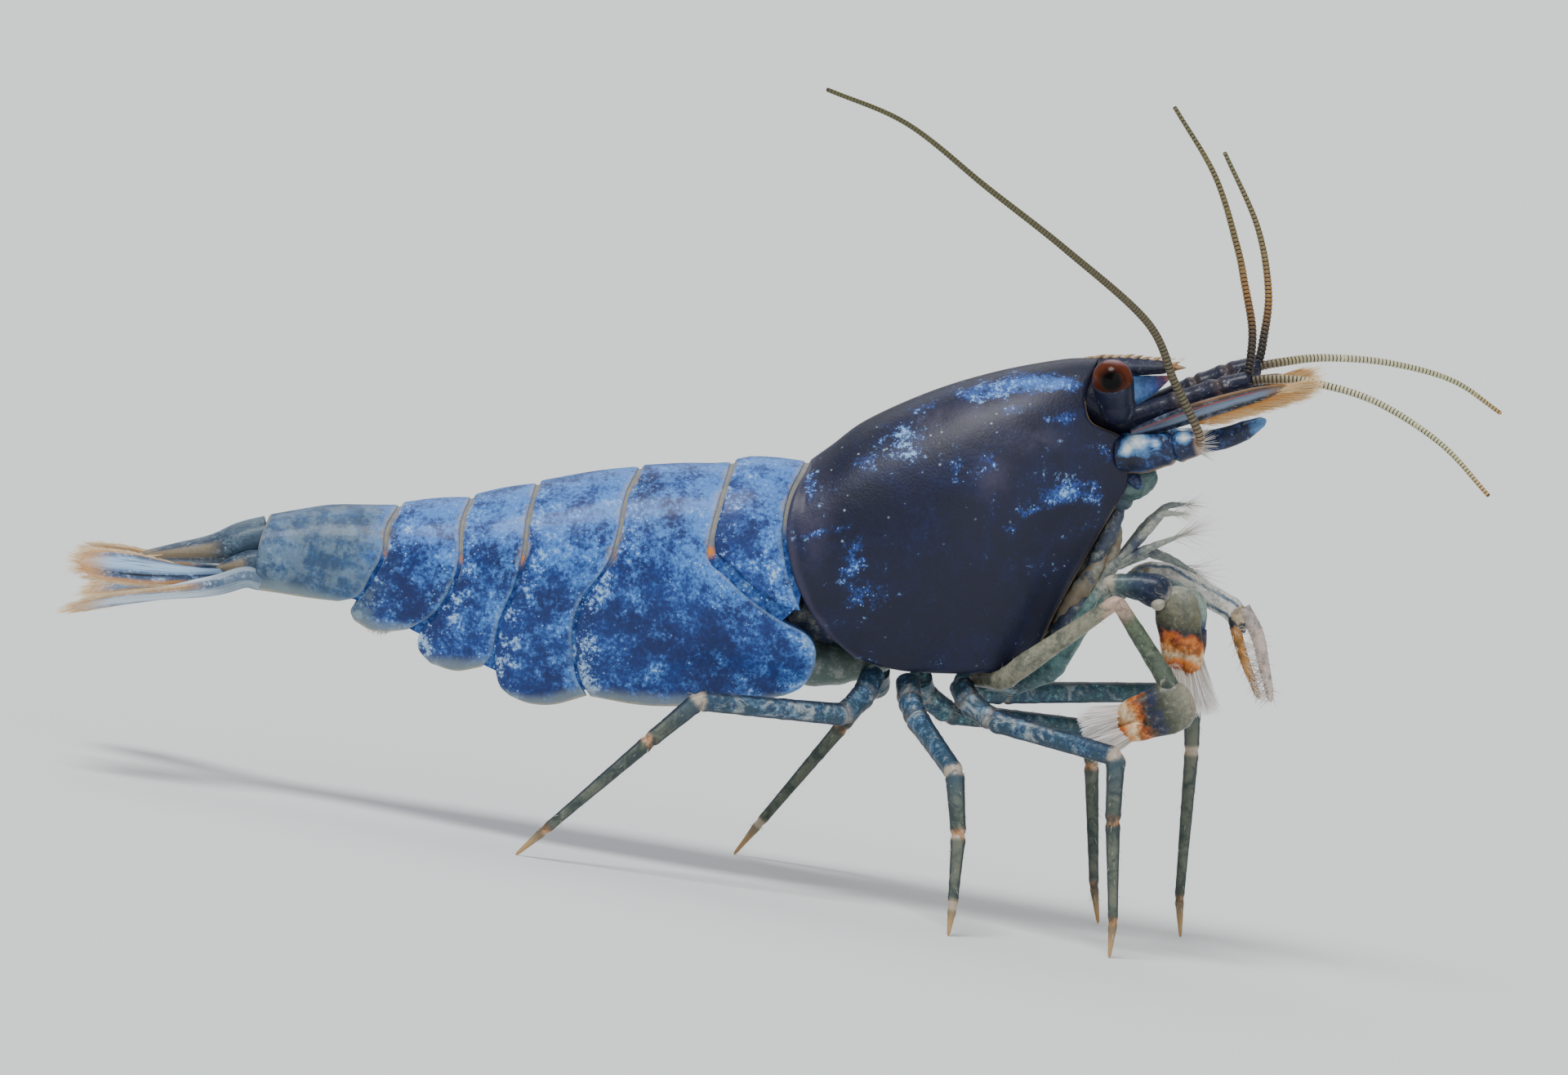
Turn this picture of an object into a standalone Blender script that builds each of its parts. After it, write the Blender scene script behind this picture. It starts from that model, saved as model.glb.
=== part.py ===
"""Blue bolt shrimp, life size, standing on its six walking legs.

The head points along +X, the animal's right side faces -Y and the feet rest
on Z = 0.  Every length below is in millimetres and is turned into metres
when a mesh is made.  Plates, limbs and feelers are separate closed solids
that meet face to face across a small clear gap.
"""

import math
import random

import bpy
import bmesh
import numpy as np

MM = 0.001
GAP = 0.25
SMALL_GAP = 0.2
CENTRE_SHIFT = 0.25
SEED = 11

# Body widths, half of the full width
CARAPACE_HALF_WIDTH = 2.5
ABDOMEN_HALF_WIDTH = 2.25
FLAP_WALL = 0.5
PLATE_LIP = 0.12
CARAPACE_TUCK = 0.26
ABDOMEN_TUCK = 0.2
CARAPACE_STATIONS = 15
KEEL_STATIONS = 7

# Limb radii
LEG_RADIUS = 0.29
SHANK_RADIUS = 0.25
TOE_RADIUS = 0.13
JOINT_NECK = 0.86
JOINT_REACH = 0.34
FEELER_RADIUS = 0.25
FEELER_TIP_RADIUS = 0.1

# The eye
EYE_RADII = (0.5, 0.5, 0.46)
EYE_CENTRE = (7.18, -1.64, 13.6)
EYE_OUTWARD = (-0.28, -0.55, 0.8)
EYESTALK_ROOT = [(7.34, -0.32, 12.95), (7.36, -0.7, 12.92)]
EYESTALK_HALF_WIDTHS = [0.25, 0.27, 0.34, 0.42]
EYESTALK_HALF_DEPTHS = [0.22, 0.24, 0.3, 0.42]
EYE_CUP_DEPTH = 0.22

# Teeth, bristle locks and brushes
TOOTH_COUNT = 10
TOOTH_HEIGHT = 0.26
TOOTH_HALF_WIDTH = 0.13
TOOTH_TIP = 0.03
TOOTH_RAKE = (0.9, 0.0, 0.8)
TOOTH_ROOT = (-0.12, 0.0, -0.12)
LOCK_HALF_WIDTH = 0.2
LOCK_HALF_THICKNESS = 0.15
FRINGE_LENGTH = 0.62
SCALE_FRINGE_LENGTH = 0.85
BRUSH_LOCKS = 4
FINGERS_END = 0.78

# Side view of the carapace, as (x, z)
CARAPACE_TOP = [
    (6.75, 14.04), (5.9, 13.84), (4.4, 13.27), (2.9, 12.52), (1.45, 11.56), (0.75, 10.85), (0.3, 10.4),
]
CARAPACE_FRONT = [(6.75, 14.04), (6.6, 13.3), (6.85, 12.6), (7.62, 12.36), (7.93, 11.85), (8.0, 11.1)]
CARAPACE_REAR = [(0.3, 10.4), (0.0, 9.6), (-0.02, 8.8), (0.2, 8.0), (0.6, 7.25), (1.25, 6.5), (2.2, 5.9)]
CARAPACE_MARGIN = [
    (8.0, 11.1), (7.4, 9.55), (6.8, 7.8), (6.5, 6.75), (6.15, 6.3), (5.4, 6.1), (4.4, 5.92), (3.2, 5.8), (2.2, 5.9),
]

# Heights and half-widths of the carapace along X
CARAPACE_X = [-0.3, 2.0, 4.0, 5.5, 6.5, 7.3, 8.1]
CARAPACE_WIDEST_Z = [8.3, 8.6, 8.9, 9.4, 10.2, 11.0, 11.6]
CARAPACE_FOOT_Z = [5.8, 5.8, 5.85, 6.0, 6.5, 9.2, 11.1]
CARAPACE_WIDTHS = [0.92, 0.98, 1.0, 0.9, 0.7, 0.54, 0.44]

# The same for the abdomen, from the tail end to the front
ABDOMEN_X = [-12.8, -11.2, -9.6, -8.8, -7.8, -6.2, -4.0, -2.0, -1.2, 0.4, 1.5]
ABDOMEN_TOP_Z = [6.62, 7.17, 7.5, 7.74, 8.02, 8.66, 9.44, 9.86, 10.15, 10.36, 10.5]
ABDOMEN_WIDEST_Z = [5.75, 5.95, 6.05, 6.1, 6.15, 6.4, 6.7, 6.9, 7.0, 7.1, 7.2]
ABDOMEN_FOOT_Z = [4.9, 4.95, 4.7, 4.45, 3.95, 3.5, 3.75, 4.1, 4.4, 4.8, 5.0]
ABDOMEN_WIDTHS = [0.44, 0.52, 0.62, 0.7, 0.78, 0.9, 0.97, 1.0, 1.0, 0.98, 0.95]

# The rostrum and the keel below it, as (x, y, z) from the back to the tip
ROSTRUM = [(5.4, 0, 13.4), (6.6, 0, 13.78), (7.7, 0, 14.0), (8.85, 0, 14.2)]
ROSTRUM_HALF_WIDTHS = [0.4, 0.36, 0.32, 0.28, 0.26, 0.24, 0.08]
ROSTRUM_HALF_DEPTHS = [0.3, 0.27, 0.25, 0.24, 0.22, 0.16, 0.04]
ROSTRUM_KEEL = [(7.2, 0.0, 13.6), (7.7, 0.0, 13.62), (8.1, 0.0, 13.78), (8.5, 0.0, 13.96)]
ROSTRUM_KEEL_HALF_WIDTH = 0.15
ROSTRUM_KEEL_HALF_DEPTHS = [0.24, 0.24, 0.18, 0.1]

# The flesh between the carapace's flaps: from and to which share of its length, and how far it swells out
CARAPACE_FILLING = {"mouthparts": (0.09, 0.47, 0.6), "thorax_underside": (0.545, 0.955, 0.0)}

# Side views of the abdomen's joints, from the back down to the pleura
JOINT_1_REAR = [(-1.46, 9.98), (-1.55, 9.18), (-1.62, 8.3), (-1.52, 7.85)]
JOINT_1_MARGIN = [(0.5, 6.84), (0.1, 6.9), (-0.55, 7.2), (-1.1, 7.55), (-1.52, 7.85)]
JOINT_1_FRONT = [(-0.02, 10.3), (-0.26, 9.6), (-0.28, 8.78), (-0.06, 7.93), (0.26, 7.25), (0.5, 6.84)]
JOINT_2_FRONT = [
    (-1.72, 9.88), (-1.82, 9.18), (-1.9, 8.3), (-1.82, 7.68), (-1.35, 7.36), (-0.7, 6.93), (0.15, 6.53),
    (0.8, 6.3), (1.1, 5.98), (1.15, 5.5), (0.95, 5.0), (0.55, 4.69),
]
JOINT_2_MARGIN = [(0.55, 4.69), (-0.54, 4.29), (-2.5, 3.89), (-3.95, 3.84)]
JOINT_3 = [
    (-3.79, 9.5), (-3.98, 8.84), (-4.0, 7.92), (-4.08, 7.28), (-4.32, 6.72), (-4.55, 6.3), (-4.68, 5.66),
    (-4.62, 5.06), (-4.4, 4.31), (-4.06, 3.86),
]
JOINT_3_MARGIN = [(-4.2, 3.7), (-4.86, 3.5), (-5.46, 3.42), (-5.92, 3.5)]
JOINT_4 = [
    (-6.19, 8.59), (-6.25, 7.9), (-6.2, 6.92), (-6.28, 6.11), (-6.46, 5.38), (-6.52, 4.49), (-6.33, 3.8),
    (-6.0, 3.52),
]
JOINT_4_MARGIN = [(-6.75, 4.1), (-7.36, 3.88), (-7.98, 3.93)]
JOINT_5 = [
    (-7.72, 8.07), (-7.82, 7.46), (-7.7, 6.52), (-7.82, 5.76), (-8.1, 5.16), (-8.42, 4.66), (-8.4, 4.25),
    (-8.05, 3.94),
]
JOINT_5_MARGIN = [(-8.7, 4.66), (-9.11, 4.53), (-9.58, 4.46), (-10.0, 4.6)]
JOINT_6 = [(-9.43, 7.53), (-9.6, 7.04), (-9.58, 6.37), (-9.76, 5.79), (-9.97, 5.27), (-10.2, 4.9), (-10.08, 4.62)]
JOINT_6_MARGIN = [(-10.5, 5.02), (-11.2, 4.97), (-12.0, 4.95), (-12.5, 4.93)]
TAIL_ROOT = [(-12.55, 6.7), (-12.64, 6.12), (-12.62, 5.51), (-12.5, 4.93)]

# Rows of a plate from the ridge of the back to the flap's margin, and the row where the trough's ceiling is
PLATE_ROWS = [0.0, 0.03, 0.09, 0.18, 0.3, 0.44, 0.58, 0.7, 0.82, 0.92, 1.0]
CEILING_ROW = 8

# Paddles under the abdomen: the plate (counted from 0) and the share of its length where each pair hangs
PLEOPODS = [(1, 0.3), (1, 0.68), (2, 0.5), (3, 0.45), (4, 0.45)]
PADDLE_HALF_WIDTHS = [0.25, 0.4, 0.55, 0.5, 0.2]
PADDLE_HALF_THICKNESS = 0.25
PADDLE_ROOT_GAP = GAP + 0.15
PADDLE_SHOWS = 0.3
PADDLE_SWEEP_BACK = 0.35

# Walking legs, from the coxa to the toe, as (x, y, z) on the right side
LEGS_RIGHT = {
    3: [(4.85, -0.9, 5.62), (5.1, -1.45, 5.3), (5.75, -2.0, 5.02), (8.8, -3.6, 4.8), (8.99, -3.9, 3.26),
        (9.42, -4.0, 0.86), (9.48, -4.1, 0.0)],
    4: [(3.55, -0.9, 5.5), (3.67, -1.45, 5.1), (3.9, -2.1, 4.75), (5.01, -4.4, 3.8), (5.35, -5.0, 2.38),
        (5.5, -5.5, 0.72), (5.52, -5.65, 0.0)],
    5: [(2.68, -0.9, 5.52), (2.56, -1.5, 5.06), (2.15, -2.3, 4.55), (-1.4, -3.95, 4.4), (-2.4, -4.2, 3.25),
        (-4.5, -4.45, 0.72), (-5.1, -4.5, 0.0)],
}
LEGS_LEFT = {
    3: [(4.95, 0.9, 5.64), (5.2, 1.5, 5.36), (5.95, 2.2, 5.4), (10.6, 3.8, 6.1), (10.85, 4.0, 4.66),
        (11.2, 4.1, 0.95), (11.4, 4.2, 0.0)],
    4: [(3.85, 0.9, 5.5), (4.0, 1.45, 5.1), (4.7, 2.0, 4.68), (8.34, 3.4, 4.8), (8.45, 3.7, 3.9),
        (9.05, 3.9, 0.9), (9.32, 4.0, 0.0)],
    5: [(2.8, 0.9, 5.5), (2.85, 1.6, 5.1), (2.85, 2.2, 5.0), (2.7, 3.9, 4.75), (2.2, 4.5, 3.7),
        (0.6, 5.1, 0.9), (0.1, 5.2, 0.0)],
}
LEG_RADII = [0.3, 0.3, LEG_RADIUS, 0.27, SHANK_RADIUS, 0.2, TOE_RADIUS]

# Feelers, from root to tip
FEELERS = {
    "antennule_flagellum_upper_right": [
        (10.42, -0.5, 14.74), (10.32, -0.55, 15.48), (9.95, -0.7, 16.5), (9.59, -0.8, 17.4), (8.77, -1.0, 18.97),
        (7.49, -1.4, 20.47)],
    "antennule_flagellum_lower_right": [
        (10.98, -0.52, 14.3), (11.9, -0.6, 14.41), (13.54, -1.1, 14.25), (15.27, -2.0, 13.56), (16.59, -3.0, 12.57)],
    "antennule_flagellum_upper_left": [
        (10.68, 0.52, 15.12), (10.61, 0.8, 16.33), (10.07, 1.2, 17.86), (8.97, 1.6, 19.5)],
    "antennule_flagellum_lower_left": [
        (11.12, 0.52, 14.68), (12.21, 1.0, 14.97), (13.83, 1.6, 15.1), (15.51, 2.3, 14.91), (16.86, 3.0, 14.29)],
    "antenna_flagellum_right": [
        (9.78, -1.62, 12.6), (9.66, -2.0, 13.0), (9.25, -2.15, 13.4), (8.77, -2.3, 13.85), (7.72, -3.0, 15.27),
        (5.48, -5.0, 16.72), (3.3, -6.5, 17.94), (1.15, -8.0, 19.16), (-0.87, -9.5, 19.69)],
    "antenna_flagellum_left": [
        (9.3, 1.95, 12.36), (9.25, 2.4, 12.4), (8.8, 3.1, 12.45), (7.0, 4.6, 12.2), (4.0, 6.6, 11.0),
        (0.5, 8.4, 9.6), (-2.4, 9.5, 8.6)],
}

# Jointed stalks that carry the feelers, and the scale beside each antenna
ANTENNULE_STALKS = {
    "right": [(8.12, -0.46, 12.84), (8.93, -0.5, 13.35), (9.8, -0.5, 13.86), (10.5, -0.5, 14.13)],
    "left": [(8.12, 0.46, 12.9), (9.3, 0.5, 13.75), (10.0, 0.5, 14.2), (10.65, 0.5, 14.5)],
}
ANTENNA_STALKS = {
    "right": [(8.28, -1.05, 12.02), (8.85, -1.25, 12.24), (9.38, -1.4, 12.45)],
    "left": [(8.28, 1.05, 11.98), (8.85, 1.25, 12.18), (9.35, 1.4, 12.36)],
}
SCALES = {
    "right": [(8.72, -1.3, 12.98), (9.5, -1.38, 13.3), (10.4, -1.42, 13.7), (11.3, -1.45, 14.1)],
    "left": [(8.72, 1.3, 13.04), (9.5, 1.38, 13.38), (10.4, 1.42, 13.8), (11.3, 1.45, 14.2)],
}
ANTENNULE_RADII = [0.3, 0.3, 0.28, 0.26]
ANTENNA_RADII = [0.38, 0.36, 0.3]
SCALE_ACROSS = (0.25, 0.5, -0.83)
SCALE_HALF_WIDTHS = [0.24, 0.46, 0.5, 0.24]
SCALE_HALF_THICKNESS = [0.22, 0.25, 0.25, 0.16]
# Smaller forms at the antennae's base: a lobe below each, and the flat last article of the far one
ANTENNA_LOBE = (8.58, 1.0, 11.56)
ANTENNA_LOBE_RADII = (0.32, 0.34, 0.36)
FAR_ARTICLE = [(9.1, 1.2, 12.36), (9.9, 1.05, 12.52), (10.5, 0.95, 12.64), (11.1, 0.9, 12.86)]
FAR_ARTICLE_HALF_WIDTHS = [0.25, 0.3, 0.3, 0.18]
FAR_ARTICLE_HALF_THICKNESS = [0.22, 0.22, 0.2, 0.12]
FAR_ARTICLE_ACROSS = (0.3, 0.0, -0.9)

# Mouth limbs and claw arms
MAXILLIPEDS = {
    "right": [(7.78, -0.54, 8.62), (8.05, -0.7, 9.22), (8.82, -0.9, 9.78), (9.5, -1.0, 10.2)],
    "left": [(7.78, 0.54, 8.5), (8.05, 0.64, 9.1), (8.84, 0.65, 9.56), (9.45, 0.65, 9.46), (10.0, 0.65, 9.26)],
}
MAXILLIPED_RADII = [0.25, 0.25, 0.25, 0.25, 0.12]
PALP_RADII = [0.2, 0.22, 0.2, 0.1]
PALPS = {
    "right": [(8.1, -0.72, 9.25), (8.62, -0.95, 10.1), (8.95, -1.02, 10.65), (9.45, -1.05, 10.72)],
    "left": [(8.1, 0.62, 9.15), (8.66, 0.8, 10.2), (9.1, 0.85, 10.75), (9.6, 0.85, 10.86)],
}
CLAW_ARMS = {
    "cheliped_1_right": [(6.46, -0.7, 6.0), (6.95, -1.1, 6.4), (7.9, -1.65, 8.78), (9.15, -1.6, 8.7),
                         (9.7, -1.55, 8.62)],
    "cheliped_2_right": [(5.66, -0.85, 5.76), (6.1, -1.55, 5.68), (6.8, -2.05, 6.6), (8.2, -2.6, 8.45),
                         (9.6, -2.6, 6.9), (9.85, -2.6, 6.45)],
    "cheliped_1_left": [(6.46, 0.7, 6.0), (6.95, 1.1, 6.42), (8.15, 1.6, 8.62), (9.35, 1.5, 8.68), (9.95, 1.5, 8.5)],
    "cheliped_2_left": [(5.66, 0.85, 5.76), (6.15, 1.6, 5.7), (7.1, 2.4, 6.85), (8.9, 2.5, 9.0), (9.5, 2.4, 9.05),
                        (11.25, 2.1, 8.45), (11.5, 2.06, 8.1)],
}
CLAW_ARM_RADII = {
    "cheliped_1_right": [0.28, 0.28, 0.27, 0.42, 0.26],
    "cheliped_2_right": [0.28, 0.28, 0.29, 0.27, 0.3, 0.25],
    "cheliped_1_left": [0.28, 0.28, 0.27, 0.4, 0.26],
    "cheliped_2_left": [0.28, 0.28, 0.28, 0.28, 0.3, 0.3, 0.26],
}
# Each claw: root, tip, half-breadth of the palm and the spread of the fingers
CLAWS = {
    "cheliped_1_right": ((9.62, -1.55, 8.95), (10.36, -1.5, 6.1), 0.56, 0.2),
    "cheliped_2_right": ((10.42, -2.6, 6.42), (8.15, -2.6, 5.12), 0.64, 0.22),
    "cheliped_1_left": ((9.96, 1.5, 8.76), (10.36, 1.5, 6.3), 0.5, 0.2),
    "cheliped_2_left": ((11.2, 2.0, 8.5), (12.45, 1.85, 6.3), 0.36, 0.34),
}
CLAW_HALF_THICKNESS = 0.3
PALM_SHARES = [0.0, 0.1, 0.28, 0.45, 0.58]
PALM_BREADTHS = [0.5, 0.85, 1.0, 0.95, 0.6]
PALM_THICKNESSES = [0.7, 1.0, 1.0, 1.0, 0.8]
FINGER_START = 0.42
FINGER_RADII = [0.25, 0.27, 0.25, 0.12]
BRUSH_START = 0.6
BRUSH_STEP = 0.04

# Tail fan, right side
TELSON = [(-13.02, 0.0, 6.12), (-13.7, 0.0, 5.7), (-14.6, 0.0, 5.45), (-15.5, 0.0, 5.2)]
TELSON_HALF_WIDTHS = [0.55, 0.5, 0.4, 0.26]
TELSON_HALF_THICKNESS = [0.42, 0.34, 0.26, 0.2]
TAIL_INNER_BLADE = [(-12.87, -0.35, 5.3), (-13.5, -0.58, 5.08), (-14.4, -1.05, 5.0), (-15.8, -1.42, 4.96),
                    (-16.85, -1.6, 4.9)]
TAIL_OUTER_BLADE = [(-12.87, -1.0, 5.2), (-13.5, -1.38, 4.92), (-14.4, -2.1, 4.66), (-15.7, -2.75, 4.3),
                    (-16.75, -3.2, 3.96)]
BLADE_HALF_WIDTHS = [0.22, 0.26, 0.44, 0.62, 0.62, 0.36]
BLADE_HALF_THICKNESS = [0.22, 0.24, 0.24, 0.22, 0.2, 0.16]

COLOURS = {
    "navy_shell": ((0.012, 0.014, 0.05), 0.3),
    "blue_shell": ((0.03, 0.12, 0.5), 0.35),
    "teal_limb": ((0.07, 0.16, 0.22), 0.35),
    "claw_shell": ((0.3, 0.27, 0.2), 0.4),
    "olive_feeler": ((0.16, 0.15, 0.05), 0.5),
    "navy_stalk": ((0.015, 0.018, 0.06), 0.4),
    "ruby_eye": ((0.22, 0.025, 0.01), 0.12),
    "amber_fringe": ((0.5, 0.28, 0.1), 0.5),
    "smoky_flesh": ((0.1, 0.1, 0.09), 0.45),
}


def clear_scene():
    for thing in list(bpy.data.objects):
        bpy.data.objects.remove(thing)


def make_materials():
    materials = {}
    for name, (colour, roughness) in COLOURS.items():
        material = bpy.data.materials.new(name)
        material.use_nodes = True
        shader = material.node_tree.nodes["Principled BSDF"]
        shader.inputs["Base Color"].default_value = (*colour, 1.0)
        shader.inputs["Roughness"].default_value = roughness
        shader.inputs["Metallic"].default_value = 0.0
        materials[name] = material
    return materials


def unit(vector):
    vector = np.asarray(vector, float)
    return vector / np.linalg.norm(vector)


def mirrored(points):
    """The same points on the other side of the body."""
    return [(x, -y, z) for x, y, z in points]


def smooth(points, steps=8):
    """A Catmull-Rom curve through the given points."""
    given = np.array(points, float)
    ends = np.vstack([2 * given[0] - given[1], given, 2 * given[-1] - given[-2]])
    line = []
    for index in range(len(given) - 1):
        before, start, end, after = ends[index:index + 4]
        for t in np.linspace(0.0, 1.0, steps, endpoint=False):
            bend = 2 * before - 5 * start + 4 * end - after
            twist = 3 * start - before - 3 * end + after
            line.append(0.5 * (2 * start + (end - before) * t + bend * t * t + twist * t ** 3))
    line.append(given[-1])
    return np.array(line)


def along(line, fractions):
    """Points at the given fractions of a line's length."""
    steps = np.linalg.norm(np.diff(line, axis=0), axis=1)
    travelled = np.concatenate([[0.0], np.cumsum(steps)])
    wanted = np.asarray(fractions, float) * travelled[-1]
    return np.stack([np.interp(wanted, travelled, line[:, axis]) for axis in range(line.shape[1])], axis=1)


def make_solid(name, mesh_data, material):
    """One closed object from points in millimetres, with its faces turned outwards."""
    points, faces = mesh_data
    places = (np.asarray(points, float) + (CENTRE_SHIFT, 0.0, 0.0)) * MM
    mesh = bpy.data.meshes.new(name)
    mesh.from_pydata(places.tolist(), [], faces)
    shell = bmesh.new()
    shell.from_mesh(mesh)
    bmesh.ops.recalc_face_normals(shell, faces=shell.faces)
    bmesh.ops.triangulate(shell, faces=[face for face in shell.faces if len(face.verts) > 4])
    shell.to_mesh(mesh)
    shell.free()
    mesh.materials.append(material)
    mesh.shade_smooth()
    mesh.set_sharp_from_angle(angle=math.radians(40))
    solid = bpy.data.objects.new(name, mesh)
    bpy.context.scene.collection.objects.link(solid)
    return solid


def keep_largest(mesh):
    """Leaves only the largest closed surface of a mesh."""
    shell = bmesh.new()
    shell.from_mesh(mesh)
    waiting = set(shell.faces)
    islands = []
    while waiting:
        stack = [waiting.pop()]
        island = []
        while stack:
            face = stack.pop()
            island.append(face)
            for edge in face.edges:
                for other in edge.link_faces:
                    if other in waiting:
                        waiting.remove(other)
                        stack.append(other)
        islands.append(island)
    islands.sort(key=lambda island: sum(face.calc_area() for face in island))
    loose = [face for island in islands[:-1] for face in island]
    if loose:
        bmesh.ops.delete(shell, geom=loose, context="FACES")
    shell.to_mesh(mesh)
    shell.free()


def fuse(name, pieces, material):
    """One closed object from several overlapping closed pieces."""
    base = make_solid(name, pieces[0], material)
    if len(pieces) == 1:
        return base
    group = bpy.data.collections.new(name + "_pieces")
    bpy.context.scene.collection.children.link(group)
    added = []
    for number, piece in enumerate(pieces[1:]):
        part = make_solid(f"{name}_piece_{number}", piece, material)
        bpy.context.scene.collection.objects.unlink(part)
        group.objects.link(part)
        added.append(part)
    union = base.modifiers.new("Fused", "BOOLEAN")
    union.operation = "UNION"
    union.operand_type = "COLLECTION"
    union.collection = group
    union.solver = "EXACT"
    bpy.context.view_layer.update()
    graph = bpy.context.evaluated_depsgraph_get()
    joined = bpy.data.meshes.new_from_object(base.evaluated_get(graph))
    base.modifiers.clear()
    base.data = joined
    for part in added:
        bpy.data.objects.remove(part)
    bpy.data.collections.remove(group)
    keep_largest(joined)
    return base


def sweep(path, wide, thick, sides=8, across=(0.0, 1.0, 0.0), flat_foot=False):
    """A closed tube along a path; each ring is an oval, wide along `across` and thick across it."""
    path = np.array(path, float)
    wide = np.broadcast_to(np.asarray(wide, float), len(path))
    thick = np.broadcast_to(np.asarray(thick, float), len(path))
    heading = np.gradient(path, axis=0)
    side = np.array(across, float)
    points = []
    for place, ahead, half_wide, half_thick in zip(path, heading, wide, thick):
        ahead = unit(ahead)
        side = unit(side - ahead * np.dot(side, ahead))
        up = np.cross(ahead, side)
        for turn in range(sides):
            angle = math.tau * (turn + 0.5) / sides
            points.append(place + math.cos(angle) * half_wide * side + math.sin(angle) * half_thick * up)
    if flat_foot:
        for corner in points[-sides:]:
            corner[2] = path[-1][2]
    faces = []
    for ring in range(len(path) - 1):
        for turn in range(sides):
            after = (turn + 1) % sides
            here = ring * sides
            faces.append((here + turn, here + after, here + sides + after, here + sides + turn))
    faces.append(tuple(range(sides)))
    last = (len(path) - 1) * sides
    faces.append(tuple(last + turn for turn in range(sides)))
    return points, faces


def limb(joints, radii, sides=8, flat_foot=False):
    """A jointed limb: full between its joints and necked at each of them."""
    joints = [np.array(joint, float) for joint in joints]
    path = [joints[0]]
    sizes = [radii[0]]
    for index in range(len(joints) - 1):
        start, end = joints[index], joints[index + 1]
        length = np.linalg.norm(end - start)
        reach = min(JOINT_REACH, 0.36 * length)
        if index > 0:
            path.append(start + (end - start) * reach / length)
            sizes.append(radii[index])
        if index < len(joints) - 2:
            path.append(end - (end - start) * reach / length)
            sizes.append(radii[index + 1])
            path.append(end)
            sizes.append(radii[index + 1] * JOINT_NECK)
        else:
            path.append(0.5 * (start + end))
            sizes.append(0.5 * (radii[index] + radii[index + 1]))
            path.append(end)
            sizes.append(radii[index + 1])
    return sweep(path, sizes, sizes, sides, flat_foot=flat_foot)


def side_grid(top, front, rear, margin, rows, stations):
    """Side-view points between four border curves, by row down the flank and by station to the rear."""
    rows = np.asarray(rows, float)
    top_line = along(smooth(top), stations)
    margin_line = along(smooth(margin), stations)
    front_line = along(smooth(front), rows)
    rear_line = along(smooth(rear), rows)
    s = rows[:, None, None]
    v = np.asarray(stations, float)[None, :, None]
    lengthwise = (1 - v) * front_line[:, None] + v * rear_line[:, None]
    downward = (1 - s) * top_line[None] + s * margin_line[None]
    upper = (1 - v) * np.array(front[0]) + v * np.array(rear[0])
    lower = (1 - v) * np.array(front[-1]) + v * np.array(rear[-1])
    return lengthwise + downward - ((1 - s) * upper + s * lower)


def flank(x, z, top_z, widest_z, foot_z, half_width, tuck):
    """Half the width at a height: an arch above the widest height, drawn in a little below it."""
    rise = np.clip((z - widest_z) / (top_z - widest_z), 0.0, 1.0)
    drop = np.clip((widest_z - z) / np.maximum(widest_z - foot_z, 0.2), 0.0, 1.2)
    return half_width * np.sqrt(1.0 - rise ** 2) * (1.0 - tuck * drop ** 2)


def carapace_flank(x, z):
    top_line = smooth(CARAPACE_TOP)[::-1]
    top_z = np.interp(x, top_line[:, 0], top_line[:, 1])
    widest = np.interp(x, CARAPACE_X, CARAPACE_WIDEST_Z)
    foot = np.interp(x, CARAPACE_X, CARAPACE_FOOT_Z)
    half = CARAPACE_HALF_WIDTH * np.interp(x, CARAPACE_X, CARAPACE_WIDTHS)
    return flank(x, z, top_z, widest, foot, half, CARAPACE_TUCK)


def abdomen_flank(x, z):
    top_z = np.interp(x, ABDOMEN_X, ABDOMEN_TOP_Z)
    widest = np.interp(x, ABDOMEN_X, ABDOMEN_WIDEST_Z)
    foot = np.interp(x, ABDOMEN_X, ABDOMEN_FOOT_Z)
    half = ABDOMEN_HALF_WIDTH * np.interp(x, ABDOMEN_X, ABDOMEN_WIDTHS)
    return flank(x, z, top_z, widest, foot, half, ABDOMEN_TUCK)


def plate(grid, half_widths, wall, ceiling):
    """A body plate: an arch with a flap down each side and a trough between the flaps.

    The end faces are ruled straight across the body, so that the end faces of
    two neighbours stay apart by the gap between their side views.
    """
    last = grid.shape[0] - 1
    count = grid.shape[1]

    def point(row, station, side, inner=False):
        x, z = grid[row, station]
        half = half_widths[row, station] - (wall if inner else 0.0)
        return (x, side * half, z)

    ring = [(0, 0, False)]
    ring += [(row, -1, False) for row in range(1, last + 1)]
    ring += [(row, -1, True) for row in range(last, ceiling - 1, -1)]
    ring += [(row, 1, True) for row in range(ceiling, last + 1)]
    ring += [(row, 1, False) for row in range(last, 0, -1)]
    slot = {key: index for index, key in enumerate(ring)}
    size = len(ring)
    points = [point(row, station, side, inner) for station in range(count) for row, side, inner in ring]
    faces = []
    for station in range(count - 1):
        for index in range(size):
            after = (index + 1) % size
            here = station * size
            faces.append((here + index, here + after, here + size + after, here + size + index))
    for station in (0, count - 1):
        start = station * size
        faces.append(tuple(start + slot[key] for key in [(0, 0, False), (1, -1, False), (1, 1, False)]))
        for row in range(1, last):
            if row + 1 < ceiling:
                keys = [(row, -1, False), (row + 1, -1, False), (row + 1, 1, False), (row, 1, False)]
                faces.append(tuple(start + slot[key] for key in keys))
            elif row + 1 == ceiling:
                keys = [(row, -1, False), (ceiling, -1, False), (ceiling, -1, True), (ceiling, 1, True),
                        (ceiling, 1, False), (row, 1, False)]
                faces.append(tuple(start + slot[key] for key in keys))
            else:
                for side in (-1, 1):
                    keys = [(row, side, False), (row + 1, side, False), (row + 1, side, True), (row, side, True)]
                    faces.append(tuple(start + slot[key] for key in keys))
    return points, faces


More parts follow.
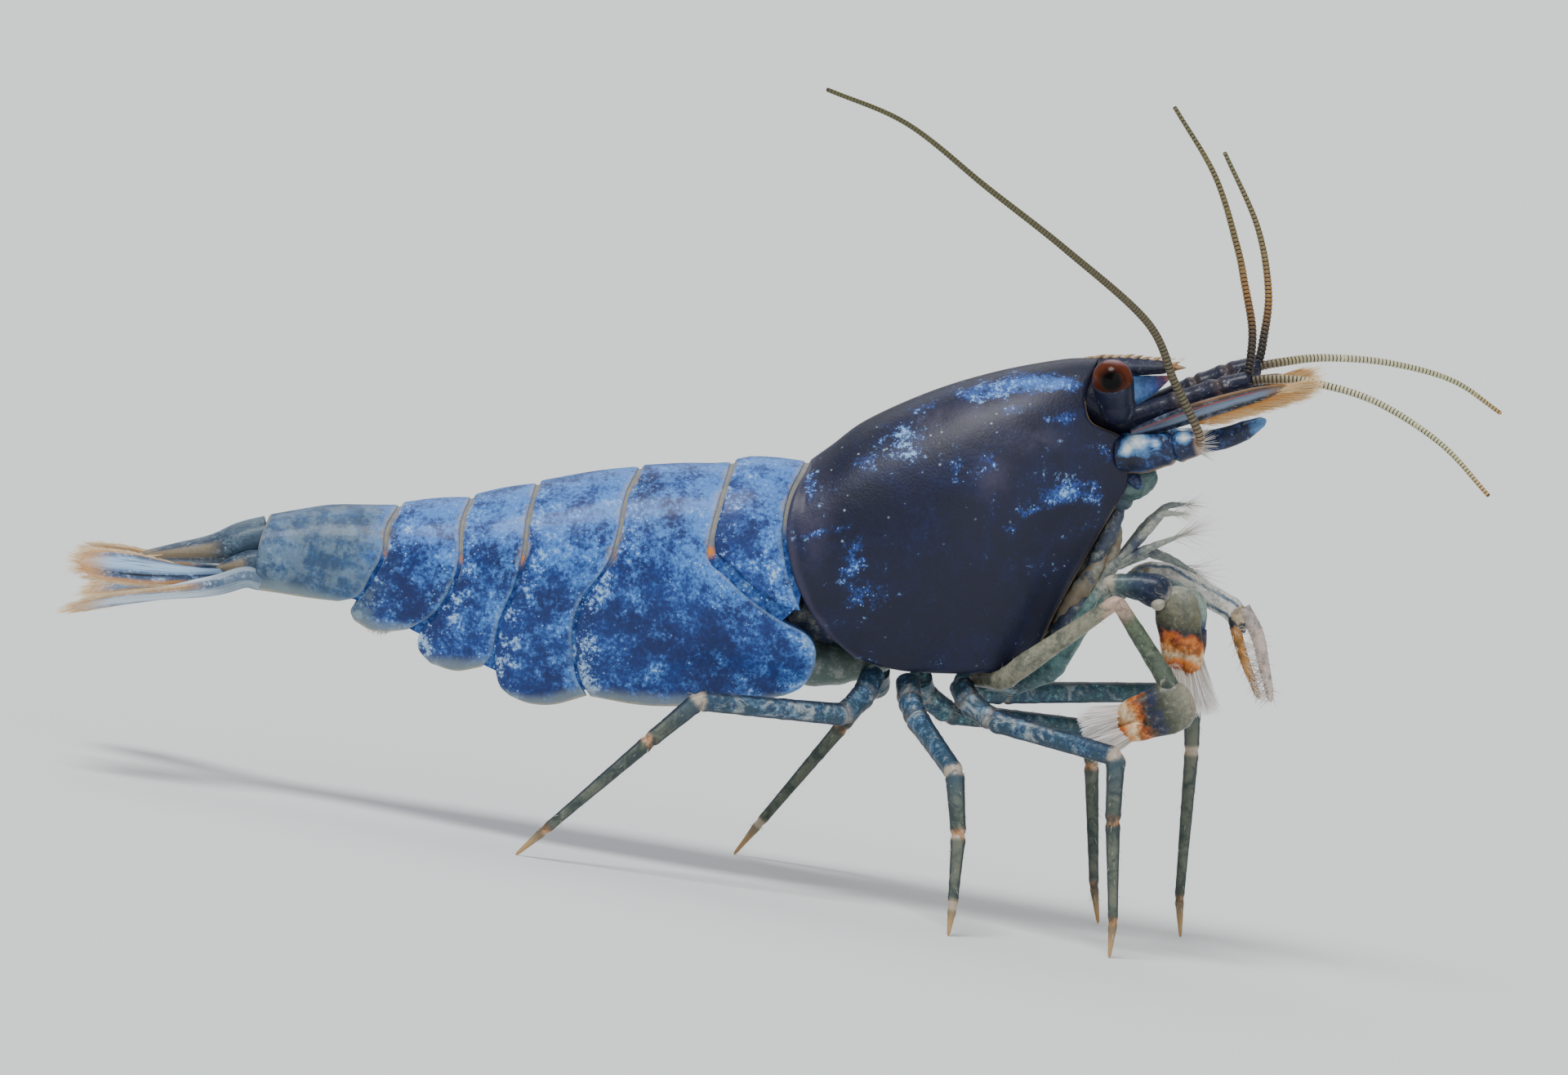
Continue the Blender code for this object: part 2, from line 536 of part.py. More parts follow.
def keel(margin, ceiling, inner_half, reach):
    """A solid that fills the trough between two flaps and stands out of it by `reach`."""
    points = []
    for low, high, half, out in zip(margin, ceiling, inner_half, reach):
        down = unit(low - high)
        top = high + down * GAP
        bottom = low + down * out
        middle = 0.45 * top + 0.55 * bottom
        for place, share in ((top, 0.8), (middle, 1.0), (bottom, 0.6)):
            points.append((place[0], -half * share, place[1]))
        for place, share in ((bottom, 0.6), (middle, 1.0), (top, 0.8)):
            points.append((place[0], half * share, place[1]))
    faces = []
    for ring in range(len(margin) - 1):
        for turn in range(6):
            after = (turn + 1) % 6
            faces.append((ring * 6 + turn, ring * 6 + after, ring * 6 + 6 + after, ring * 6 + 6 + turn))
    faces.append(tuple(range(6)))
    start = (len(margin) - 1) * 6
    faces.append(tuple(start + turn for turn in range(6)))
    return points, faces


def lock(root, tip, sag, across):
    """A flat, tapered tuft of bristles that bends by `sag` on its way to the tip."""
    middle = 0.55 * root + 0.45 * tip + sag
    taper = np.array([1.0, 0.8, 0.28])
    return sweep([root, middle, tip], LOCK_HALF_WIDTH * taper, LOCK_HALF_THICKNESS * taper, 4, across)


def fringe(path, half_widths, across, edges, length, chance):
    """Locks round a blade's rim, leaning out less and less towards its tip.

    `edges` lists which rims carry them: 1 is the rim on the side of `across`,
    -1 the other one.  Three more locks close the tip.
    """
    line = along(smooth(path), np.linspace(0.0, 1.0, 25))
    heading = np.gradient(line, axis=0)
    places = [(share, edge) for edge in edges for share in (0.5, 0.61, 0.72, 0.83, 0.93)]
    places += [(0.94, -0.5), (0.96, 0.0), (0.94, 0.5)]
    pieces = []
    for share, edge in places:
        index = round(share * (len(line) - 1))
        ahead = unit(heading[index])
        out = unit(across - ahead * np.dot(across, ahead))
        wide = np.interp(share, np.linspace(0.0, 1.0, len(half_widths)), half_widths)
        lean = edge * (0.75 - 0.45 * share)
        away = unit(ahead + lean * out)
        root = line[index] + out * edge * 0.55 * wide
        reach = length * (0.85 + 0.3 * chance.random()) + 0.3 * wide * abs(edge)
        tip = root + away * reach
        sag = np.cross(ahead, out) * 0.12 * (chance.random() - 0.5)
        pieces.append(lock(root, tip, sag, out))
    return pieces


def carapace_pieces():
    stations = np.linspace(0.0, 1.0, CARAPACE_STATIONS)
    grid = side_grid(CARAPACE_TOP, CARAPACE_FRONT, CARAPACE_REAR, CARAPACE_MARGIN, PLATE_ROWS, stations)
    half = carapace_flank(grid[..., 0], grid[..., 1])
    half[0] = 0.0
    pieces = [plate(grid, half, FLAP_WALL, CEILING_ROW)]
    shares = np.linspace(0.0, 1.0, len(ROSTRUM_HALF_WIDTHS))
    rostrum = along(smooth(ROSTRUM), shares)
    pieces.append(sweep(rostrum, ROSTRUM_HALF_WIDTHS, ROSTRUM_HALF_DEPTHS))
    pieces.append(sweep(ROSTRUM_KEEL, ROSTRUM_KEEL_HALF_WIDTH, ROSTRUM_KEEL_HALF_DEPTHS, 4))
    for share in np.linspace(0.12, 0.9, TOOTH_COUNT):
        edge = along(rostrum, [share])[0] + (0.0, 0.0, np.interp(share, shares, ROSTRUM_HALF_DEPTHS))
        size = 1.0 - 0.35 * share
        root = edge + np.array(TOOTH_ROOT)
        tip = edge + np.array(TOOTH_RAKE) * TOOTH_HEIGHT * size
        wide = [TOOTH_HALF_WIDTH, TOOTH_TIP]
        thick = [TOOTH_HALF_WIDTH * size, TOOTH_TIP]
        pieces.append(sweep([root, tip], wide, thick, 4))
    return pieces


def make_body(materials):
    fuse("carapace", carapace_pieces(), materials["navy_shell"])
    for name, (start, end, out) in CARAPACE_FILLING.items():
        stations = np.linspace(start, end, KEEL_STATIONS)
        rows = [PLATE_ROWS[CEILING_ROW], 1.0]
        grid = side_grid(CARAPACE_TOP, CARAPACE_FRONT, CARAPACE_REAR, CARAPACE_MARGIN, rows, stations)
        inner = carapace_flank(grid[..., 0], grid[..., 1]).min(axis=0) - FLAP_WALL - GAP
        swell = out * np.sin(np.linspace(0.12, 0.88, KEEL_STATIONS) * math.pi)
        make_solid(name, keel(grid[1], grid[0], inner, swell), materials["smoky_flesh"])


def shifted(curve, step):
    return [(x + step, z) for x, z in curve]


def abdomen_borders():
    """The side view of each abdomen plate: front, rear and margin borders."""
    half_gap = 0.5 * GAP
    return [
        (JOINT_1_FRONT, JOINT_1_REAR, JOINT_1_MARGIN),
        (JOINT_2_FRONT, shifted(JOINT_3, half_gap), JOINT_2_MARGIN),
        (shifted(JOINT_3, -half_gap), shifted(JOINT_4, half_gap), JOINT_3_MARGIN),
        (shifted(JOINT_4[:-2], -half_gap) + JOINT_4_MARGIN[:1], shifted(JOINT_5, half_gap), JOINT_4_MARGIN),
        (shifted(JOINT_5[:-3], -half_gap) + JOINT_5_MARGIN[:1], shifted(JOINT_6, half_gap), JOINT_5_MARGIN),
        (shifted(JOINT_6[:-2], -half_gap) + JOINT_6_MARGIN[:1], TAIL_ROOT, JOINT_6_MARGIN),
    ]


def abdomen_grid(borders, rows, stations):
    front, rear, margin = borders
    margin = [front[-1], *margin[1:-1], rear[-1]]
    ahead, behind = front[0][0], rear[0][0]
    top = [(x, np.interp(x, ABDOMEN_X, ABDOMEN_TOP_Z)) for x in np.linspace(ahead, behind, 5)]
    front = [top[0], *front[1:]]
    rear = [top[-1], *rear[1:]]
    return side_grid(top, front, rear, margin, rows, stations)


def make_abdomen(materials):
    for number, borders in enumerate(abdomen_borders(), start=1):
        stations = np.linspace(0.0, 1.0, 8 if number == 2 else 6)
        grid = abdomen_grid(borders, PLATE_ROWS, stations)
        half = abdomen_flank(grid[..., 0], grid[..., 1])
        lip = PLATE_LIP * stations ** 3
        half[1:] += lip
        grid[0, :, 1] += lip
        half[0] = 0.0
        wall = np.minimum(FLAP_WALL, 0.45 * half[CEILING_ROW:].min())
        make_solid(f"abdomen_{number}", plate(grid, half, float(wall), CEILING_ROW), materials["blue_shell"])


def make_pleopods(materials):
    """Paddles under the abdomen, hung from the trough's ceiling and showing below the margin."""
    borders = abdomen_borders()
    for number, (segment, station) in enumerate(PLEOPODS, start=1):
        ends = abdomen_grid(borders[segment], [PLATE_ROWS[CEILING_ROW], 1.0], [station])[:, 0]
        high, low = ends
        inner = abdomen_flank(ends[:, 0], ends[:, 1]).min() - FLAP_WALL
        thick = min(PADDLE_HALF_THICKNESS, 0.28 * inner)
        root = high + unit(low - high) * PADDLE_ROOT_GAP
        tip = low + unit(low - high) * PADDLE_SHOWS - (PADDLE_SWEEP_BACK, 0.0)
        for side, y in (("right", -0.5 * inner), ("left", 0.5 * inner)):
            line = [(root[0], y, root[1]), (tip[0], y, tip[1])]
            depths = thick * np.array([1.0, 1.0, 1.0, 0.9, 0.6])
            places = along(np.array(line), np.linspace(0.0, 1.0, len(depths)))
            paddle = sweep(places, PADDLE_HALF_WIDTHS, depths, across=(1.0, 0.0, 0.0))
            make_solid(f"pleopod_{number}_{side}", paddle, materials["smoky_flesh"])


def blade(line, wide, thick, across, count=7):
    """A flat blade along a smooth line."""
    fractions = np.linspace(0.0, 1.0, count)
    given = np.linspace(0.0, 1.0, len(wide))
    return sweep(along(smooth(line), fractions), np.interp(fractions, given, wide),
                 np.interp(fractions, given, thick), 8, across)


def make_tail(materials, chance):
    flat = np.array([0.0, 1.0, 0.0])
    pieces = [blade(TELSON, TELSON_HALF_WIDTHS, TELSON_HALF_THICKNESS, flat)]
    pieces += fringe(TELSON, TELSON_HALF_WIDTHS, flat, [], 0.75 * FRINGE_LENGTH, chance)
    fuse("telson", pieces, materials["blue_shell"])
    for side, sign in (("right", 1.0), ("left", -1.0)):
        for name, path, tilt in (("endopod", TAIL_INNER_BLADE, 0.6), ("exopod", TAIL_OUTER_BLADE, -0.3)):
            path = path if sign > 0 else mirrored(path)
            across = np.array([0.0, sign, tilt])
            pieces = [blade(path, BLADE_HALF_WIDTHS, BLADE_HALF_THICKNESS, across, 9)]
            pieces += fringe(path, BLADE_HALF_WIDTHS, across, [-1, 1], FRINGE_LENGTH, chance)
            fuse(f"uropod_{name}_{side}", pieces, materials["amber_fringe"])


def ball(centre, radii, sides=12, rings=8):
    """A closed ellipsoid with its poles along Z."""
    points = [(centre[0], centre[1], centre[2] + radii[2])]
    for ring in range(1, rings):
        tilt = math.pi * ring / rings
        for turn in range(sides):
            angle = math.tau * turn / sides
            points.append((centre[0] + radii[0] * math.sin(tilt) * math.cos(angle),
                           centre[1] + radii[1] * math.sin(tilt) * math.sin(angle),
                           centre[2] + radii[2] * math.cos(tilt)))
    points.append((centre[0], centre[1], centre[2] - radii[2]))
    bottom = len(points) - 1
    faces = []
    for turn in range(sides):
        after = (turn + 1) % sides
        faces.append((0, 1 + turn, 1 + after))
        start = 1 + (rings - 2) * sides
        faces.append((bottom, start + after, start + turn))
        for ring in range(rings - 2):
            here = 1 + ring * sides
            faces.append((here + turn, here + sides + turn, here + sides + after, here + after))
    return points, faces


def make_eyes(materials):
    x, y, z = EYE_CENTRE
    for side, sign in (("right", 1.0), ("left", -1.0)):
        centre = np.array([x, sign * y, z])
        outward = unit(np.array(EYE_OUTWARD) * (1.0, sign, 1.0))
        make_solid(f"eye_{side}", ball(centre, EYE_RADII), materials["ruby_eye"])
        collar = centre - outward * (EYE_RADII[2] + SMALL_GAP)
        root = EYESTALK_ROOT if sign > 0 else mirrored(EYESTALK_ROOT)
        stalk = [*root, collar - outward * EYE_CUP_DEPTH, collar]
        cup = sweep(stalk, EYESTALK_HALF_WIDTHS, EYESTALK_HALF_DEPTHS, across=(1.0, 0.0, 0.0))
        make_solid(f"eyestalk_{side}", cup, materials["navy_stalk"])


def make_feelers(materials, chance):
    for name, line in FEELERS.items():
        count = 20 if name.startswith("antenna_") else 12
        fractions = np.linspace(0.0, 1.0, count)
        radii = FEELER_RADIUS + (FEELER_TIP_RADIUS - FEELER_RADIUS) * np.clip((fractions - 0.8) / 0.2, 0.0, 1.0)
        make_solid(name, sweep(along(smooth(line), fractions), radii, radii, 6), materials["olive_feeler"])
    for side in ("right", "left"):
        stalk = limb(ANTENNULE_STALKS[side], ANTENNULE_RADII)
        make_solid(f"antennule_peduncle_{side}", stalk, materials["navy_stalk"])
        sign = 1.0 if side == "right" else -1.0
        lobe = (ANTENNA_LOBE[0], -sign * ANTENNA_LOBE[1], ANTENNA_LOBE[2])
        pieces = [limb(ANTENNA_STALKS[side], ANTENNA_RADII), ball(lobe, ANTENNA_LOBE_RADII, 8, 6)]
        if side == "left":
            pieces.append(blade(FAR_ARTICLE, FAR_ARTICLE_HALF_WIDTHS, FAR_ARTICLE_HALF_THICKNESS,
                                FAR_ARTICLE_ACROSS))
        fuse(f"antenna_peduncle_{side}", pieces, materials["navy_stalk"])
        across = np.array(SCALE_ACROSS) * (1.0, sign, 1.0)
        pieces = [blade(SCALES[side], SCALE_HALF_WIDTHS, SCALE_HALF_THICKNESS, across)]
        pieces += fringe(SCALES[side], SCALE_HALF_WIDTHS, across, [1], SCALE_FRINGE_LENGTH, chance)
        fuse(f"antennal_scale_{side}", pieces, materials["amber_fringe"])
        radii = MAXILLIPED_RADII[-len(MAXILLIPEDS[side]):]
        pieces = [limb(MAXILLIPEDS[side], radii, 6), limb(PALPS[side], PALP_RADII, 6)]
        fuse(f"maxilliped_{side}", pieces, materials["smoky_flesh"])


def make_legs(materials):
    for side, legs in (("right", LEGS_RIGHT), ("left", LEGS_LEFT)):
        for number, joints in legs.items():
            make_solid(f"walking_leg_{number}_{side}", limb(joints, LEG_RADII, flat_foot=True),
                       materials["teal_limb"])


def claw_pieces(root, tip, breadth, spread, chance):
    """The palm, the two fingers and the brush of a claw, in the plane of the arm."""
    root = np.array(root)
    tip = np.array(tip)
    ahead = tip - root
    across = unit(np.cross(ahead, (0.0, 1.0, 0.0)))
    palm = [root + ahead * share for share in PALM_SHARES]
    wide = breadth * np.array(PALM_BREADTHS)
    thick = CLAW_HALF_THICKNESS * np.array(PALM_THICKNESSES)
    pieces = [sweep(palm, wide, thick, across=across)]
    for sign in (1.0, -1.0):
        offsets = [0.45 * breadth, 0.55 * breadth, 0.5 * breadth + 0.3 * spread, spread]
        shares = np.linspace(FINGER_START, FINGERS_END, len(offsets))
        finger = [root + ahead * share + across * sign * offset for share, offset in zip(shares, offsets)]
        pieces.append(sweep(finger, FINGER_RADII, FINGER_RADII, 6, across))
        for number in range(BRUSH_LOCKS):
            share = BRUSH_START + BRUSH_STEP * number
            start = root + ahead * share + across * sign * np.interp(share, shares, offsets)
            fan = sign * (0.3 * number / BRUSH_LOCKS - 0.06)
            rise = 0.2 * (-1) ** number
            away = unit(unit(ahead) + fan * across + (0.0, rise, 0.0))
            reach = np.linalg.norm(ahead) * (1.0 - share) * (0.9 + 0.15 * chance.random())
            pieces.append(lock(start, start + away * reach, 0.06 * sign * across, across))
    return pieces


def make_claw_arms(materials, chance):
    for name, joints in CLAW_ARMS.items():
        arm = limb(joints, CLAW_ARM_RADII[name])
        fuse(name, [arm, *claw_pieces(*CLAWS[name], chance)], materials["claw_shell"])


def main():
    clear_scene()
    chance = random.Random(SEED)
    materials = make_materials()
    make_body(materials)
    make_abdomen(materials)
    make_pleopods(materials)
    make_tail(materials, chance)
    make_eyes(materials)
    make_feelers(materials, chance)
    make_legs(materials)
    make_claw_arms(materials, chance)


if __name__ == "__main__":
    main()
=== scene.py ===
import math

import bmesh
import bpy
import numpy as np
from bpy.props import FloatProperty, FloatVectorProperty, IntProperty, PointerProperty
from mathutils import Matrix, Vector


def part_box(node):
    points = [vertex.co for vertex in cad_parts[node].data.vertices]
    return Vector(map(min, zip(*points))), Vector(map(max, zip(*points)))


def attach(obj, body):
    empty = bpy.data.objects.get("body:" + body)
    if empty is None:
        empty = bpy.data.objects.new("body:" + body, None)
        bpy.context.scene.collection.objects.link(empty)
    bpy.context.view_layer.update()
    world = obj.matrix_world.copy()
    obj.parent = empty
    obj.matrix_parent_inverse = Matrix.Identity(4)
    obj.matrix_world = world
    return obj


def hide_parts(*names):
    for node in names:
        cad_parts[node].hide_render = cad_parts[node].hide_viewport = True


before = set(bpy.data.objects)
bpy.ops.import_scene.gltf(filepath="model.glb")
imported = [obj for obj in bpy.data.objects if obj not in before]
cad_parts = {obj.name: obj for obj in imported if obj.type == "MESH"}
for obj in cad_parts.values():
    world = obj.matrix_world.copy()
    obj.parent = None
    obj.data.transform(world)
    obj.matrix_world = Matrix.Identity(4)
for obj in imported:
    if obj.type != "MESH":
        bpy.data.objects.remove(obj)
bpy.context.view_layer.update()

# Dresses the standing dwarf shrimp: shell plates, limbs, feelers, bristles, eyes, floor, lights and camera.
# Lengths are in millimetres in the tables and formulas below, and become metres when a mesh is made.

bl_info = {
    "name": "Dwarf shrimp dresser",
    "version": (1, 0, 0),
    "blender": (4, 5, 0),
    "location": "3D View > Sidebar > Shrimp",
    "description": "Builds the fine surfaces, bristles and finishes of a standing dwarf shrimp",
    "category": "Object",
}

MM = 0.001
SHIFT = np.array([0.25, 0.0, 0.0])
SIDEWAYS = np.array([0.0, 1.0, 0.0])
LIMB_STEP = 0.03
SIDES = (("right", -1.0), ("left", 1.0))

# Side view of the carapace, as (x, z)
CARAPACE_TOP = [
    (6.75, 14.04), (5.9, 13.84), (4.4, 13.27), (2.9, 12.52), (1.45, 11.56), (0.75, 10.85), (0.3, 10.4),
]
CARAPACE_FRONT = [(6.75, 14.04), (6.6, 13.3), (6.85, 12.6), (7.62, 12.36), (7.93, 11.85), (8.0, 11.1)]
CARAPACE_REAR = [(0.3, 10.4), (0.0, 9.6), (-0.02, 8.8), (0.2, 8.0), (0.6, 7.25), (1.25, 6.5), (2.2, 5.9)]
CARAPACE_MARGIN = [
    (8.0, 11.1), (7.4, 9.55), (6.8, 7.8), (6.5, 6.75), (6.15, 6.3), (5.4, 6.1), (4.4, 5.92), (3.2, 5.8),
    (2.2, 5.9),
]

# Heights and half-widths of the carapace along X, and of the abdomen from its tail end forwards
CARAPACE_PROFILE = {
    "x": [-0.3, 2.0, 4.0, 5.5, 6.5, 7.3, 8.1],
    "widest": [8.3, 8.6, 8.9, 9.4, 10.2, 11.0, 11.6],
    "foot": [5.8, 5.8, 5.85, 6.0, 6.5, 9.2, 11.1],
    "half": [2.3, 2.45, 2.5, 2.25, 1.75, 1.35, 1.1],
    "tuck": 0.26,
}
ABDOMEN_PROFILE = {
    "x": [-12.8, -11.2, -9.6, -8.8, -7.8, -6.2, -4.0, -2.0, -1.2, 0.4, 1.5],
    "top": [6.62, 7.17, 7.5, 7.74, 8.02, 8.66, 9.44, 9.86, 10.15, 10.36, 10.5],
    "widest": [5.75, 5.95, 6.05, 6.1, 6.15, 6.4, 6.7, 6.9, 7.0, 7.1, 7.2],
    "foot": [4.9, 4.95, 4.7, 4.45, 3.95, 3.5, 3.75, 4.1, 4.4, 4.8, 5.0],
    "half": [0.99, 1.17, 1.395, 1.575, 1.755, 2.025, 2.183, 2.25, 2.25, 2.205, 2.138],
    "tuck": 0.2,
}

# Side views of the abdomen's joints, from the back down to the pleura, and of the lower margins
JOINT_1_REAR = [(-1.46, 9.98), (-1.55, 9.18), (-1.62, 8.3), (-1.52, 7.85)]
JOINT_1_MARGIN = [(0.5, 6.84), (0.1, 6.9), (-0.55, 7.2), (-1.1, 7.55), (-1.52, 7.85)]
JOINT_1_FRONT = [(-0.02, 10.3), (-0.26, 9.6), (-0.28, 8.78), (-0.06, 7.93), (0.26, 7.25), (0.5, 6.84)]
JOINT_2_FRONT = [
    (-1.72, 9.88), (-1.82, 9.18), (-1.9, 8.3), (-1.82, 7.68), (-1.35, 7.36), (-0.7, 6.93), (0.15, 6.53),
    (0.8, 6.3), (1.1, 5.98), (1.15, 5.5), (0.95, 5.0), (0.55, 4.69),
]
JOINT_2_MARGIN = [(0.55, 4.69), (-0.54, 4.29), (-2.5, 3.89), (-3.95, 3.84)]
JOINT_3 = [
    (-3.79, 9.5), (-3.98, 8.84), (-4.0, 7.92), (-4.08, 7.28), (-4.32, 6.72), (-4.55, 6.3), (-4.68, 5.66),
    (-4.62, 5.06), (-4.4, 4.31), (-4.06, 3.86),
]
JOINT_3_MARGIN = [(-4.2, 3.7), (-4.86, 3.5), (-5.46, 3.42), (-5.92, 3.5)]
JOINT_4 = [
    (-6.19, 8.59), (-6.25, 7.9), (-6.2, 6.92), (-6.28, 6.11), (-6.46, 5.38), (-6.52, 4.49), (-6.33, 3.8),
    (-6.0, 3.52),
]
JOINT_4_MARGIN = [(-6.75, 4.1), (-7.36, 3.88), (-7.98, 3.93)]
JOINT_5 = [
    (-7.72, 8.07), (-7.82, 7.46), (-7.7, 6.52), (-7.82, 5.76), (-8.1, 5.16), (-8.42, 4.66), (-8.4, 4.25),
    (-8.05, 3.94),
]
JOINT_5_MARGIN = [(-8.7, 4.66), (-9.11, 4.53), (-9.58, 4.46), (-10.0, 4.6)]
JOINT_6 = [
    (-9.43, 7.53), (-9.6, 7.04), (-9.58, 6.37), (-9.76, 5.79), (-9.97, 5.27), (-10.2, 4.9), (-10.08, 4.62),
]
JOINT_6_MARGIN = [(-10.5, 5.02), (-11.2, 4.97), (-12.0, 4.95), (-12.5, 4.93)]
TAIL_ROOT = [(-12.55, 6.7), (-12.64, 6.12), (-12.62, 5.51), (-12.5, 4.93)]
JOINT_HALF_GAP = 0.045
SEAM_DEPTH = 0.045
JOINT_DOTS = [(-1.76, 7.88), (-3.91, 7.38), (-6.3, 6.9), (-7.6, 6.62), (-9.45, 6.4)]

# Blue markings on the carapace: x, z, half-length, half-height, rise of its long axis and strength
CARAPACE_MARKS = [
    (5.45, 13.2, 1.35, 0.27, 0.2, 0.95), (4.2, 12.78, 1.0, 0.24, 0.34, 0.75),
    (2.9, 12.2, 0.9, 0.12, 0.42, 0.5),
    (4.95, 12.5, 0.6, 0.14, 0.2, 0.7), (6.1, 12.5, 0.55, 0.2, 0.25, 0.66),
    (6.5, 10.75, 0.9, 0.34, 0.42, 0.72),
    (5.7, 10.2, 0.5, 0.2, 0.5, 0.72), (5.35, 9.7, 0.22, 0.14, 0.2, 0.8), (7.1, 10.9, 0.5, 0.34, 0.0, 0.58),
    (0.95, 8.86, 0.75, 0.09, 0.45, 0.78), (1.7, 8.3, 0.36, 0.7, -0.1, 0.62),
    (2.1, 7.5, 0.7, 0.42, 0.1, 0.56),
    (2.4, 11.25, 1.2, 0.6, 0.4, 0.5), (1.6, 10.7, 0.7, 0.4, 0.6, 0.46), (4.5, 11.2, 0.4, 0.42, 0.9, 0.55),
    (3.9, 10.9, 0.5, 0.4, 0.3, 0.4), (7.4, 11.9, 0.4, 0.3, 0.0, 0.5), (0.4, 9.9, 0.2, 0.5, 0.2, 0.55),
    (7.0, 9.9, 0.6, 0.25, 0.8, 0.42),
]
# Pale dust, and a purple-grey painted sheen (a painted highlight) there: x, z, half-length, half-height and
# rise
CARAPACE_DUST = [(2.6, 11.3, 1.2, 0.6, 0.4), (1.0, 10.0, 0.5, 0.8, 0.0), (4.4, 12.2, 0.7, 0.3, 0.2)]
CARAPACE_PAINTED_SHEEN = [(4.3, 12.42, 1.5, 0.26, 0.3), (3.0, 12.0, 0.8, 0.3, 0.35), (5.4, 11.9, 0.9, 0.3, 0.15),
                  (0.55, 9.2, 0.45, 1.3, 0.1), (4.6, 10.9, 0.5, 0.5, 0.0)]
# Pale grit on the abdomen's plates, in the same terms as the carapace's marks
PLATE_GRIT = [(-0.1, 7.55, 1.3, 0.3, -1.5, 1.0), (-1.95, 7.45, 0.25, 0.2, 0.0, 0.8),
              (-1.28, 6.64, 0.2, 0.15, 0.0, 0.7), (-0.58, 4.9, 0.5, 0.22, -0.3, 0.7)]

# The rostrum, its keel and the eyes
ROSTRUM = [(5.2, 0, 13.28), (6.6, 0, 13.78), (7.7, 0, 14.0), (8.92, 0, 14.2)]
ROSTRUM_KEEL = [(7.0, 0.0, 13.5), (7.7, 0.0, 13.52), (8.15, 0.0, 13.72), (8.6, 0.0, 14.0)]
EYE_CENTRE = (7.16, 1.64, 13.7)
EYE_RADII = (0.5, 0.5, 0.48)
EYE_OUTWARD = (-0.28, 0.55, 0.8)
EYESTALK_ROOT = [(7.34, 0.2, 12.95), (7.36, 0.7, 12.92)]
HEAD_CORE = [(6.0, 0.0, 12.9), (6.7, 0.0, 13.0), (7.4, 0.0, 12.72), (8.3, 0.0, 12.25)]

# Walking legs, from the coxa to the toe
LEGS = {
    "walking_leg_3_right": [(4.85, -0.9, 5.62), (5.1, -1.45, 5.3), (5.75, -2.0, 5.02), (8.8, -3.6, 4.8),
                            (8.99, -3.9, 3.26), (9.42, -4.0, 0.86), (9.48, -4.1, 0.0)],
    "walking_leg_4_right": [(3.55, -0.9, 5.5), (3.67, -1.45, 5.1), (3.9, -2.1, 4.75), (5.01, -4.4, 3.8),
                            (5.35, -5.0, 2.38), (5.5, -5.5, 0.72), (5.52, -5.65, 0.0)],
    "walking_leg_5_right": [(2.68, -0.9, 5.52), (2.56, -1.5, 5.06), (2.15, -2.3, 4.55), (-1.4, -3.95, 4.4),
                            (-2.4, -4.2, 3.25), (-4.5, -4.45, 0.72), (-5.1, -4.5, 0.0)],
    "walking_leg_3_left": [(4.95, 0.9, 5.64), (5.2, 1.5, 5.36), (5.95, 2.2, 5.4), (10.6, 3.8, 6.1),
                           (10.85, 4.0, 4.66), (11.2, 4.1, 0.95), (11.4, 4.2, 0.0)],
    "walking_leg_4_left": [(3.85, 0.9, 5.5), (4.0, 1.45, 5.1), (4.7, 2.0, 4.68), (8.34, 3.4, 4.8),
                           (8.45, 3.7, 3.9), (9.05, 3.9, 0.9), (9.32, 4.0, 0.0)],
    "walking_leg_5_left": [(2.8, 0.9, 5.5), (2.85, 1.6, 5.1), (2.85, 2.2, 5.0), (2.7, 3.9, 4.75),
                           (2.2, 4.5, 3.7), (0.6, 5.1, 0.9), (0.1, 5.2, 0.0)],
}
LEG_RADII = [0.3, 0.3, 0.28, 0.235, 0.18, 0.115, 0.035]

# Feelers, from root to tip
FEELERS = {
    "antennule_flagellum_upper_right": [
        (10.42, -0.5, 14.25), (10.42, -0.5, 14.74), (10.32, -0.55, 15.48), (9.95, -0.7, 16.5),
        (9.59, -0.8, 17.4), (8.77, -1.0, 18.97), (7.49, -1.4, 20.47)],
    "antennule_flagellum_lower_right": [
        (10.55, -0.5, 14.18), (10.98, -0.52, 14.3), (11.9, -0.6, 14.41), (13.54, -1.1, 14.25),
        (15.27, -2.0, 13.56), (16.59, -3.0, 12.57)],
    "antennule_flagellum_upper_left": [
        (10.66, 0.5, 14.6), (10.68, 0.52, 15.12), (10.61, 0.8, 16.33), (10.07, 1.2, 17.86),
        (8.97, 1.6, 19.5)],
    "antennule_flagellum_lower_left": [
        (10.7, 0.5, 14.52), (11.12, 0.52, 14.68), (12.21, 1.0, 14.97), (13.83, 1.6, 15.1),
        (15.51, 2.3, 14.91), (16.86, 3.0, 14.29)],
    "antenna_flagellum_right": [
        (9.5, -1.5, 12.45), (9.52, -1.78, 12.62), (9.36, -1.98, 12.92), (9.02, -2.12, 13.4),
        (8.62, -2.3, 13.95),
        (7.72, -3.0, 15.27), (5.48, -5.0, 16.72), (3.3, -6.5, 17.94), (1.15, -8.0, 19.16),
        (-0.87, -9.5, 19.69)],
    "antenna_flagellum_left": [
        (9.32, 1.55, 12.35), (9.3, 1.95, 12.36), (9.25, 2.4, 12.4), (8.8, 3.1, 12.45), (7.0, 4.6, 12.2),
        (4.0, 6.6, 11.0), (0.5, 8.4, 9.6), (-2.4, 9.5, 8.6)],
}
ANTENNULE_STALKS = {
    "right": [(7.7, -0.42, 12.7), (8.93, -0.5, 13.35), (9.8, -0.5, 13.86), (10.55, -0.5, 14.2)],
    "left": [(7.7, 0.42, 12.7), (9.3, 0.5, 13.75), (10.0, 0.5, 14.2), (10.72, 0.5, 14.56)],
}
